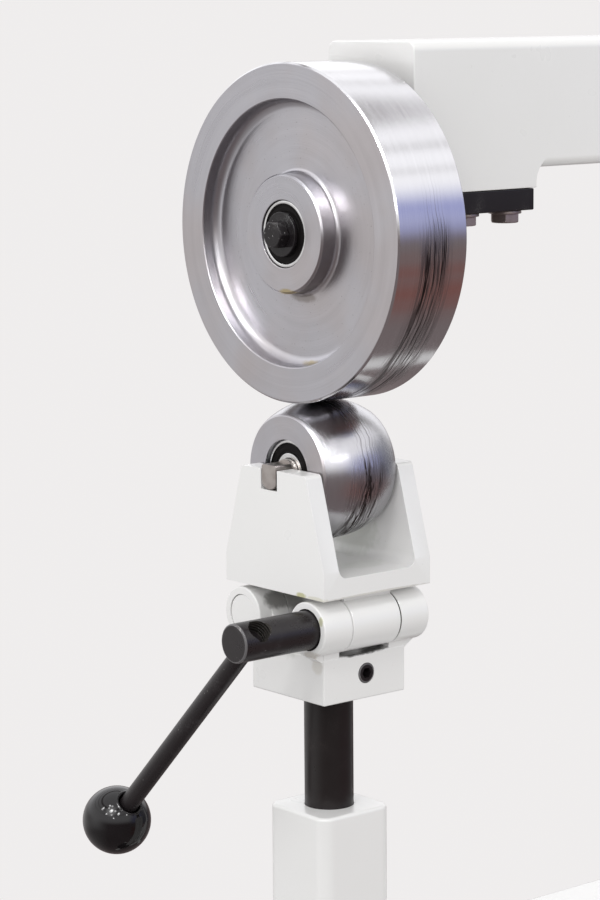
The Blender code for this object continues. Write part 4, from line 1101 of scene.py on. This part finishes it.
@dataclass
class Column(Assembly):
    """The front column, its guide and foot plate, the post, the screw's collar and the kick wheel."""

    side: float = 0.0546
    corner: float = 0.0086
    top: float = 0.799956
    tube_top: float = 0.789956
    tube_bottom: float = 0.511956
    bottom: float = 0.499956
    bush: float = 0.0223
    bush_bottom: float = 0.729956
    guide_bore: float = 0.0153
    screw_bore: float = 0.0103
    post: float = 0.015
    post_top: float = 0.898956
    post_bottom: float = 0.679956
    bore_top: float = 0.811
    key_floor: float = 0.0123
    key_half: float = 0.0028
    key_top: float = 0.841
    collar: float = 0.017
    collar_top: float = 0.4996
    collar_depth: float = 0.012
    wheel_height: float = 0.250
    wheel: float = 0.130
    wheel_bore: float = 0.0083
    rim_half: float = 0.012
    rim_edge: float = 0.003
    hub_half: float = 0.016
    web: float = 0.004
    web_outer: float = 0.114
    web_inner: float = 0.024
    guide_edge: float = 0.0022
    foot_edge: float = 0.0012
    post_edge: float = 0.0004
    collar_edge: float = 0.0008
    wheel_edge: float = 0.001

    def build(self) -> None:
        """Make the pieces from the column down to the kick wheel."""
        square = rounded_square(self.side, self.corner)
        upright = Facing.Z
        self.put(Solid.prism(square, self.tube_bottom, self.tube_top, facing=upright), "front_column", WHITE)
        guide = Solid.prism(square, self.tube_top, self.top, facing=upright)
        guide.soften_end(self.guide_edge, 4, 2, self.top)
        guide.join(Solid.rod(self.bush, self.bush_bottom, self.tube_top + OVERLAP, ORIGIN, upright, 64))
        guide.cut(Solid.rod(self.guide_bore, self.bush_bottom - DRILL, self.top + DRILL, ORIGIN, upright))
        self.put(guide, "column_guide", WHITE)
        foot = Solid.prism(square, self.bottom, self.tube_bottom, facing=upright)
        foot.soften_end(self.foot_edge, 3, 2, self.bottom)
        foot.cut(Solid.rod(self.screw_bore, self.bottom - DRILL, self.tube_bottom + DRILL, ORIGIN, upright, 64))
        self.put(foot, "column_foot_plate", WHITE)
        outline = [(0, self.post_top), (self.post, self.post_top), (self.post, self.post_bottom),
                   (self.screw_bore, self.post_bottom), (self.screw_bore, self.bore_top), (0, self.bore_top)]
        post = Solid.lathe(outline, ORIGIN, upright, 96).soften(self.post_edge)
        keyway = Solid.box((self.key_floor, -self.key_half, self.post_bottom - DRILL),
                           (self.key_floor + DRILL, self.key_half, self.key_top))
        self.put(post.cut(keyway), "post", POST_BLACK)
        collar = Solid.ring(self.screw_bore, self.collar, self.collar_top - self.collar_depth, self.collar_top,
                            ORIGIN, upright)
        self.put(collar.soften(self.collar_edge, 3), "screw_collar", BLACK)
        hub, rim, web, edge, bevel = self.hub_half, self.rim_half, self.web, self.rim_edge, self.wheel_edge
        side = arc((self.wheel - edge, edge - rim), edge, 0, -90, 5)
        side += [(self.web_outer + bevel, -rim), (self.web_outer, bevel - rim)]
        side += arc((self.web_outer - web, -2 * web), web, 0, 90, 4)
        side += arc((self.web_inner + web, -2 * web), web, 90, 180, 4)
        side += [(self.web_inner, bevel - hub), (self.web_inner - bevel, -hub), (self.wheel_bore, -hub)]
        outline = side + [(radius, -along) for radius, along in reversed(side)]
        self.put(Solid.lathe(outline, (0, 0, self.wheel_height), upright, 144, True), "kick_wheel", BLACK)


@dataclass
class Head(Assembly):
    """The head block clamped on the post, its hinge pin and its set screw."""

    half_x: float = 0.0321
    half_y: float = 0.0337
    top: float = 0.899956
    bottom: float = 0.871856
    lug_inner: float = 0.0191
    lug_outer: float = 0.0411
    lug_flank: float = 35.0
    gusset_side: float = 0.006
    pin: float = 0.0117
    pin_bore: float = 0.0120
    clip_bore: float = 0.0063
    post_bore: float = 0.0153
    screw: Triple = (0.0012, 0, 0.887356)
    screw_radius: float = 0.006
    screw_bore: float = 0.0063
    screw_tip: float = 0.0153
    screw_face: float = 0.0341
    screw_edge: float = 0.0009
    socket_floor: float = 0.0281
    edge: float = 0.0010
    pin_inset: float = 0.0004
    pin_edge: float = 0.0007
    groove: Profile = field(default_factory=lambda: [(0.0100, -0.001), (0.0135, -0.001), (0.0124, 0.0002),
                                                     (0.0124, 0.0035), (0.0100, 0.0035)])

    def build(self) -> None:
        """Make the block, the pin and the screw."""
        block = Solid.box((-self.half_x, -self.half_y, self.bottom), (self.half_x, self.half_y, self.top))
        block.soften(self.edge, 3)
        for side, lug_y in ((1, PIN_Y), (-1, CAM_Y)):
            self._lugs(block, side, lug_y)
        pin_axis, cam_axis = (0, PIN_Y, HINGE_Z), (0, CAM_Y, HINGE_Z)
        groove = [(radius, along - self.lug_outer) for radius, along in self.groove]
        block.cut(Solid.rod(self.pin_bore, -DRILL, DRILL, pin_axis), Solid.rod(self.pin_bore, -DRILL, 0, cam_axis),
                  Solid.rod(self.clip_bore, -OVERLAP, DRILL, cam_axis),
                  Solid.rod(self.post_bore, self.bottom - DRILL, self.top + DRILL, ORIGIN, Facing.Z),
                  Solid.rod(self.screw_bore, 0, DRILL, self.screw, Facing.Y, 64),
                  Solid.lathe(groove, cam_axis, steps=96, closed=True))
        piece = self.put(block, "head_block", HEAD_WHITE)
        mouth = 0.0005 - self.lug_outer
        self.recoat(piece, BORE_EDGE, lambda face, normal: off_axis(face, cam_axis) < 0.0136 and face.x < mouth)
        # Painted shade: the bore just behind its mouth, round the shaft, and the rear lugs' inner faces beside the
        # yoke's barrels are darkened.
        self.recoat(piece, RECESS_SHADE, lambda face, normal: (
            off_axis(face, cam_axis) < 0.0126 and mouth < face.x < -0.030
            or normal.x < -0.9 and abs(face.x - self.lug_inner) < 0.0003))
        end = self.lug_outer - self.pin_inset
        self.put(Solid.rod(self.pin, -end, end, pin_axis).soften(self.pin_edge, 3), "hinge_pin", WHITE)
        screw = Solid.rod(self.screw_radius, self.screw_tip, self.screw_face, self.screw, Facing.Y, 64)
        screw.soften(self.screw_edge, 3)
        socket = arc(ORIGIN, self.screw_radius / sqrt(3), 0, 300, 5)
        screw.cut(Solid.prism(socket, self.socket_floor, DRILL, self.screw, Facing.Y))
        piece = self.put(screw, "head_set_screw", BLACK)
        # The set screw's rim is paler: wear with a painted highlight.
        self.recoat(piece, WORN_AND_HIGHLIT_EDGE, lambda face, normal: hypot(
            face.x - self.screw[0], face.z - self.screw[2]) > self.screw_radius * 0.85)

    def _lugs(self, block: Solid, side: int, lug_y: float) -> None:
        """Weld a pair of lugs with their webs and gussets to the block.

        Args:
            block: The block.
            side: -1 or 1.
            lug_y: The lugs' axis.
        """
        reach = radians(self.lug_flank)
        flank = (lug_y - side * BARREL * cos(reach), HINGE_Z + BARREL * sin(reach))
        outer, under = side * (self.half_y - 0.0005), self.top - OVERLAP
        web = [(outer, under), (outer, HINGE_Z), (lug_y, HINGE_Z), flank, (side * 0.004, self.top),
               (side * 0.004, under)]
        for end in (-1, 1):
            foot, tip = end * (self.half_x - OVERLAP), end * (self.lug_outer - OVERLAP)
            gusset = [(foot, HINGE_Z), (foot, self.top - 0.0026), (tip, HINGE_Z - BARREL + 0.0005), (tip, HINGE_Z)]
            lug = Solid.rod(BARREL, end * self.lug_inner, end * self.lug_outer, (0, lug_y, HINGE_Z))
            block.join(Solid.prism(web, end * (self.lug_inner + 0.0005), end * (self.half_x - 0.0005)),
                       lug.soften(self.edge, 3),
                       Solid.prism(gusset, side * (OVERLAP - self.half_y), side * self.gusset_side - lug_y,
                                   facing=Facing.Y))


@dataclass
class Lever(Assembly):
    """The eccentric shaft, the lever rod and the ball knob."""

    axis: Triple = (0.0, CAM_Y, HINGE_Z)
    radius: float = 0.0117
    edge: float = 0.0011
    front: float = 0.0963
    inner: float = 0.0191
    eccentric: float = 0.0086
    journal: Profile = field(default_factory=lambda: [
        (0, 0.0451), (0.006, 0.0451), (0.006, 0.0432), (0.005, 0.0432), (0.005, 0.0414), (0.006, 0.0414),
        (0.006, 0.0178), (0, 0.0178)])
    inset: float = 0.0132
    angle: float = -45.3
    hole_depth: float = 0.0125
    hole_core: float = 0.0072
    mouth: float = 0.0128
    rod: float = 0.0059
    stud: float = 0.0056
    length: float = 0.1933
    ball: float = 0.0213
    ball_mouth: float = 0.0092
    ball_bore: float = 0.0066
    ball_floor: float = 0.0027

    def _tapped(self) -> tuple[Profile, Profile]:
        """Give the outlines of the lever's own thread and of the empty hole's coarser one."""
        near = [(0, 0.012)]
        for number in range(16):
            along = 0.012 - number * 0.0015
            near += [(0.0063, along - 0.0002), (0.0057, along - 0.00075)]
        far = [(0, 0.0)]
        for number in range(6):
            along = -0.0020 * number
            far += [(0.0070, along), (0.0070, along - 0.0007), (0.0075, along - 0.0010),
                    (0.0075, along - 0.0016)]
        return (near + [(0.0060, -self.hole_depth), (0, -self.hole_depth)],
                far + [(self.hole_core, -self.hole_depth), (0, -self.hole_depth)])

    def build(self) -> None:
        """Make the shaft, the rod and the ball."""
        turn = Matrix.Rotation(radians(self.angle) - pi / 2, 4, "X")
        raised = Vector(self.axis) + Vector((0, 0, THROW))
        shaft = Solid.rod(self.radius, -self.front, -self.inner, self.axis).soften(self.edge, 3)
        shaft.join(Solid.rod(self.eccentric, -self.inner - OVERLAP, BARREL_HALF, raised),
                   Solid.lathe(self.journal, self.axis))
        place = (self.inset - self.front, self.axis[1], self.axis[2])
        near, far = self._tapped()
        top, bottom = 0.0008 - self.radius, 0.0008 - self.radius - self.mouth + self.hole_core
        cone = [(0, top), (self.hole_core, top), (self.mouth, bottom), (0, bottom)]
        shaft.cut(Solid.lathe(near, place, turn, 48), Solid.lathe(far, place, turn),
                  Solid.lathe(cone, place, turn))
        piece = self.put(shaft, "cam_shaft", SHAFT_BLACK)
        way, middle = turn.to_3x3() @ Vector((0, 0, 1)), Vector(place)

        def off_hole(face: Vector) -> float:
            """Give a face's distance from the tapped hole's axis."""
            offset = face - middle
            return (offset - way * offset.dot(way)).length

        self.recoat(piece, THREAD, lambda face, normal: off_hole(face) < self.hole_core)
        # Painted shade in the roots of the empty hole's thread; the crests keep the paler bare thread finish.
        self.recoat(piece, RECESS_SHADE, lambda face, normal: self.hole_core < off_hole(face) < 0.0078)
        self.recoat(piece, WORN_AND_HIGHLIT_EDGE, lambda face, normal: (
            face.x < 0.0012 - self.front and off_axis(face, self.axis) > self.radius - 0.0012))
        shoulder, floor = self.radius + SEAT_GAP, self.length + self.ball_floor
        end = floor - SEAT_GAP
        rod = [(0, end), (self.rod, end), (self.rod, shoulder), (self.stud, shoulder), (self.stud, -0.002),
               (0, -0.002)]
        self.put(Solid.lathe(rod, place, turn).soften(0.0005), "lever_rod", SHAFT_BLACK)
        mouth = sqrt(self.ball ** 2 - self.ball_mouth ** 2)
        edge = self.length - mouth
        outline = arc((0, self.length), self.ball, 90, -degrees(asin(mouth / self.ball)), 40)
        outline[0] = (0, self.length + self.ball)
        outline += arc((0.0080, edge + 0.0004), 0.0011, -30, -160, 6)
        outline += [(self.ball_bore, edge + 0.0012), (self.ball_bore, floor), (0, floor)]
        self.put(Solid.lathe(outline, place, turn, 80), "ball_knob", KNOB, 40)


@dataclass
class Yoke(Assembly):
    """The yoke with its slotted ears and its two barrels."""

    half_x: float = 0.0419
    half_y: float = 0.0458
    plate: float = 0.012
    floor: float = 0.950356
    bottom: float = 0.938356
    top: float = 1.010856
    fillet: float = 0.006
    ear_top: float = 0.0305
    ear_shoulder: float = 0.0162
    ear_round: float = 0.003
    slot_low: float = 0.998456
    slot_middle: float = 0.004
    slot_half: float = 0.0075
    web_half: float = 0.007
    pin_bore: float = 0.0120
    cam_slot: float = 0.0093
    edge: float = 0.00017
    barrel_edge: float = 0.0008

    def build(self) -> None:
        """Make the yoke."""
        inner, fillet, past = self.half_x - self.plate, self.fillet, 0.003
        above, ahead = self.top + past, self.half_y + past
        channel = [(self.half_x, self.bottom), (self.half_x, above), (inner, above)]
        channel += arc((inner - fillet, self.floor + fillet), fillet, 0, -90, 8)
        channel += arc((fillet - inner, self.floor + fillet), fillet, -90, -180, 8)
        channel += [(-inner, above), (-self.half_x, above), (-self.half_x, self.bottom)]
        shape = Solid.prism(channel, -ahead, ahead, facing=Facing.Y)
        shoulder = self.bottom + self.ear_shoulder
        lean = degrees(atan2((self.half_y - self.ear_top) / (self.top - shoulder), 1))
        right = [(self.half_y, self.bottom - past), (self.half_y, shoulder)]
        right += arc((self.ear_top - self.ear_round, self.top - self.ear_round), self.ear_round, lean, 90, 5)
        outline = right + [(-y, z) for y, z in reversed(right)]
        reach = self.half_x + past
        shape.meet(Solid.prism(outline, -reach, reach))
        shape.cut(Solid.box((-reach, self.slot_middle - self.slot_half, self.slot_low),
                            (reach, self.slot_middle + self.slot_half, above))).soften(self.edge, 3)
        for y in (PIN_Y, CAM_Y):
            shape.join(Solid.box((0.0005 - BARREL_HALF, y - self.web_half, HINGE_Z),
                                 (BARREL_HALF - 0.0005, y + self.web_half, self.bottom + OVERLAP)),
                       Solid.rod(BARREL, -BARREL_HALF, BARREL_HALF, (0, y, HINGE_Z)).soften(self.barrel_edge, 3))
        oval = arc((THROW, 0), self.cam_slot, -90, 90, 24) + arc((-THROW, 0), self.cam_slot, 90, 270, 24)
        shape.cut(Solid.rod(self.pin_bore, -DRILL, DRILL, (0, PIN_Y, HINGE_Z)),
                  Solid.prism(oval, -DRILL, DRILL, (0, CAM_Y, HINGE_Z + THROW)))
        piece = self.put(shape, "yoke", YOKE_WHITE)
        # Painted shade: a dark line on the lower rounded rear end of the barrel round the eccentric, in its gap
        # with the rear lug.
        self.recoat(piece, RECESS_SHADE, lambda face, normal: (
            face.x > BARREL_HALF - 0.0007 and 0.0150 < off_axis(face, (0, CAM_Y, HINGE_Z)) < 0.0170
            and face.z < self.bottom))


@dataclass
class Anvil(Assembly):
    """The crowned lower wheel, its bearings and its milled axle."""

    centre: Triple = (0.0, 0.004, 1.007256)
    radius: float = 0.0425
    edge_radius: float = 0.0353
    half_width: float = 0.0285
    edge: float = 0.0012
    bearing_face: float = 0.026
    bearing_depth: float = 0.0123
    bearing_seat: float = 0.020
    shoulder: float = 0.017
    axle: float = 0.0085
    flat: float = 0.0065
    top_flat: float = 0.0063
    mill: float = 0.0115
    end: float = 0.0419
    ear: float = 0.0296

    def build(self) -> None:
        """Make the wheel, its bearings and the axle."""
        tread = self.half_width - self.edge
        sagitta = self.radius - self.edge_radius
        crown = (tread ** 2 + sagitta ** 2) / (2 * sagitta)
        spread = degrees(asin(tread / crown))
        outline = arc((self.radius - crown, 0), crown, spread, -spread, 28)
        seat = self.bearing_face - self.bearing_depth
        front = [(self.edge_radius - self.edge, -self.half_width), (self.bearing_seat, -self.half_width),
                 (self.bearing_seat, -seat), (self.shoulder, -seat)]
        outline += front + [(radius, -along) for radius, along in reversed(front)]
        solid = Solid.lathe(outline, self.centre, steps=160, closed=True).soften(0.00025, 2, 30)
        faced = FacedSteel("faced_anvil_steel", "polished_steel", self.centre, 0.34)
        wheel = self.put(solid, "anvil_wheel", faced)
        rolled = RolledSteel("rolled_crown", "polished_steel", self.centre, (0.505, 0.50, 0.52), 0.23, 2.7,
                             0.00010, 0.42)
        limit = self.edge_radius - 0.0004
        self.recoat(wheel, rolled,
                    lambda face, normal: off_axis(face, self.centre) > limit and abs(normal.x) < 0.8)
        bearings = Bearings("anvil", self.centre, self.bearing_face, 0.0118)
        bearings.build()
        x, y, z = self.centre
        axle = Solid.rod(self.axle, -self.end, self.end, self.centre, steps=64).soften(0.0005)
        for side in (-1, 1):
            near, far = side * self.ear, side * (self.end + 0.003)
            for cheek in (-1, 1):
                axle.cut(Solid.box((near, y + cheek * self.flat, z - self.mill),
                                   (far, y + cheek * self.mill, z + self.mill)))
            axle.cut(Solid.box((near, y - self.mill, z + self.top_flat), (far, y + self.mill, z + self.mill)))
        self.put(axle, "anvil_axle", DARK_AXLE)
        bearings.space()


class Rest(Assembly):
    """The frame's own nodes that keep their shape, given a finish."""

    finishes = {"post_key": DARK_AXLE, "thrust_race_lower": RACE, "thrust_cage": DARK_AXLE,
                "thrust_race_upper": RACE, "lift_screw": DARK_AXLE, "kick_wheel_nut": BLACK, "cam_clip": BLACK}

    def build(self) -> None:
        """Dress the nodes."""
        for name, finish in self.finishes.items():
            self.dress(frame["nodes"][name], finish)
            LOG.info("%s: kept, %s", name, finish.name)


@dataclass
class Studio:
    """The camera, the lamps, the world and the floor.

    A glow has its direction, the radii of its core and of its reach on the unit sphere, and its level. A lamp
    has its direction, its size and its power. A beam across the ceiling has its height, half its width and
    its depth of tone. The machine's right lies along +X and -Y by the two shares given for it.
    """

    focal_pixels: float = 2834.7
    frame_height: float = 900.0
    sensor: float = 36.0
    yaw: float = 50.30
    pitch: float = 9.03
    roll: float = -0.47
    station: Triple = (-1.0852, -1.2819, 1.2856)
    backdrop: Triple = (0.866, 0.849, 0.847)
    sky: Triple = (0.95, 0.95, 0.955)
    ground: Triple = (0.46, 0.45, 0.445)
    ceiling: Triple = (1.55, 1.55, 1.58)
    dim: Triple = (0.46, 0.435, 0.435)
    beams: tuple[Triple, ...] = ((0.768, 0.042, 1.0), (0.643, 0.030, 0.45), (0.50, 0.040, 0.30))
    right: tuple[float, float] = (0.643, 0.766)
    right_floor: Triple = (0.23, 0.19, 0.19)
    right_patch: Triple = (0.26, 0.115, 0.10)
    right_strip: Triple = (0.40, 0.44, 0.86)
    right_back: Triple = (0.20, 0.21, 0.26)
    glows: tuple[tuple[Triple, float, float, float], ...] = (
        ((-0.639, -0.341, 0.690), 0.10, 0.38, 4.6), ((-0.639, -0.341, 0.690), 0.075, 0.10, 20.0),
        ((-0.89, 0.38, 0.26), 0.02, 0.66, 1.7), ((-0.738, 0.190, 0.650), 0.050, 0.065, 12.0),
        ((-0.413, -0.722, 0.562), 0.055, 0.070, 14.0), ((-0.60, -0.14, 0.787), 0.040, 0.055, 14.0),
        ((-0.48, -0.52, 0.706), 0.050, 0.065, 14.0), ((-0.71, -0.47, 0.524), 0.045, 0.060, 14.0),
        ((-0.44, -0.22, 0.871), 0.045, 0.060, 12.0))
    floor_middle: Triple = (0.30, 0.0, 0.0)
    floor_radius: float = 1.55
    floor_tints: tuple[Triple, Triple] = ((0.765, 0.752, 0.75), (0.6, 0.6, 0.6))
    lamp_aim: Triple = (0.0, 0.0, 1.0)
    lamp_distance: float = 3.0
    lamps: tuple[tuple[Triple, float, float], ...] = (
        ((-0.639, -0.341, 0.690), 0.46, 10.0), ((-0.738, 0.190, 0.650), 0.30, 4.3),
        ((-0.413, -0.722, 0.562), 0.34, 5.0), ((-0.734, -0.611, 0.296), 0.24, 2.6),
        ((-0.871, -0.154, 0.466), 0.26, 3.6), ((-0.017, -0.921, 0.393), 0.28, 3.6),
        ((-0.544, -0.060, 0.835), 0.30, 4.5))

    def build(self) -> None:
        """Set up the studio."""
        bpy.context.scene.view_settings.view_transform = "Standard"
        self._camera()
        for number, (direction, size, power) in enumerate(self.lamps, 1):
            data = bpy.data.lights.new(f"ceiling_lamp_{number}", "AREA")
            data.shape, data.size, data.energy = "DISK", size, power
            towards = Vector(direction).normalized()
            lamp = self._hang(data.name, data)
            lamp.location = Vector(self.lamp_aim) + towards * self.lamp_distance
            lamp.rotation_euler = towards.to_track_quat("Z", "Y").to_euler()
        self._world()
        self._floor()

    @staticmethod
    def _hang(name: str, data: bpy.types.ID) -> bpy.types.Object:
        """Put an object with its data into the scene."""
        thing = bpy.data.objects.new(name, data)
        bpy.context.scene.collection.objects.link(thing)
        return thing

    def _camera(self) -> None:
        """Stand the camera where the photograph was taken."""
        yaw, pitch, roll = radians(self.yaw), radians(self.pitch), radians(self.roll)
        ahead = Vector((cos(yaw) * cos(pitch), sin(yaw) * cos(pitch), -sin(pitch)))
        level = Vector((sin(yaw), -cos(yaw), 0))
        right = level * cos(roll) + level.cross(ahead) * sin(roll)
        data = bpy.data.cameras.new("camera")
        data.sensor_width = self.sensor
        data.lens = self.focal_pixels / self.frame_height * self.sensor
        data.clip_start = 0.02
        camera = self._hang("camera", data)
        camera.matrix_world = Matrix((right, right.cross(ahead), -ahead)).transposed().to_4x4()
        camera.location = self.station
        bpy.context.scene.camera = camera

    def _world(self) -> None:
        """Light the scene softly from all round, with an even pale backdrop.

        Polished steel mirrors that backdrop too, with a brighter ceiling above it and a dimmer ground below.
        On the machine's right the hall is dim and warm, edged by a cool strip.
        """
        world = bpy.data.worlds.new("studio")
        bpy.context.scene.world = world
        world.use_nodes = True
        tree = Tree(world.node_tree, "Generated")
        place = tree.place()
        up = place["Z"]
        soft = tree.blend(up.rise(-0.70, 0.0), self.ground, self.sky)
        mirrored = tree.blend(up.rise(0.0, 0.28), self.backdrop, self.ceiling)
        for height, half, depth in self.beams:
            beam = abs(up - height).fall(half * 0.3, half)
            mirrored = tree.blend(beam * depth, mirrored, self.dim)
        mirrored = tree.blend((-up).rise(0.16, 0.5), mirrored, self.dim)
        east, south = self.right
        right = place["X"] * east - place["Y"] * south
        mirrored = tree.blend(right.rise(-0.80, -0.20) * (-up).rise(-0.14, 0.07), mirrored, self.right_floor)
        level = tree.length(place["X"], place["Y"])
        facing = (right / level).rise(0.80, 0.97)
        uneven = tree.noise(place["xyz"], 7).rise(0.25, 0.60)
        patch = facing * (-up).rise(0.12, 0.30) * (-up).fall(0.52, 0.72) * uneven
        mirrored = tree.blend(patch, mirrored, self.right_patch)
        strip = abs(up - 0.16).fall(0.05, 0.27) * facing * (uneven * 0.4 + 0.6)
        mirrored = tree.blend(strip * 0.9, mirrored, self.right_strip)
        behind = (place["X"] * south + place["Y"] * east) / level
        corner = behind.rise(0.12, 0.40) * behind.fall(0.72, 0.92) * right.rise(0.0, 0.2)
        corner = corner * (up + 0.30).rise(0.0, 0.15) * up.fall(0.30, 0.50)
        mirrored = tree.blend(corner * 0.85, mirrored, self.right_back)
        for direction, core, reach, bright in self.glows:
            away = tree.length(*(place[axis] - part for axis, part in zip("XYZ", direction)))
            mirrored = tree.blend(away.fall(core, reach), mirrored, (bright,) * 3)
        path = tree.node("ShaderNodeLightPath").outputs
        glossy, through, seen = (Wire(tree, path[f"Is {way} Ray"]) for way in ("Glossy", "Transmission", "Camera"))
        colour = tree.blend(seen, tree.blend(glossy + through, soft, mirrored), self.backdrop)
        tree.feed(tree.nodes["Background"].inputs["Color"], colour)

    def _floor(self) -> None:
        """Lay a pale round floor that fades into the backdrop and takes the shadow."""
        cage = bmesh.new()
        bmesh.ops.create_circle(cage, cap_ends=True, radius=self.floor_radius, segments=96)
        mesh = bpy.data.meshes.new("floor")
        cage.to_mesh(mesh)
        cage.free()
        floor = self._hang("floor", mesh)
        floor.location = self.floor_middle
        floor.visible_diffuse = floor.visible_glossy = False
        recipe = Recipe("pale_floor")
        place = recipe.place()
        reach = recipe.length(place["X"], place["Y"])
        fade = reach.fall(self.floor_radius * 0.55, self.floor_radius * 0.97)
        tint = recipe.blend(recipe.noise(place["xyz"], 3, 3) * 0.02, *self.floor_tints)
        mesh.materials.append(recipe.finish(base_color=tint, roughness=0.7, alpha=fade, specular_ior_level=0.2))


def main() -> None:
    """Build the studio and every sub-assembly."""
    logging.basicConfig(level=logging.INFO, format="%(name)s: %(message)s")
    Studio().build()
    for assembly in (UpperWheel(), AxleBracket(), Frame(), Column(), Head(), Lever(), Yoke(), Anvil(), Rest()):
        assembly.build()


if __name__ == "__main__":
    main()
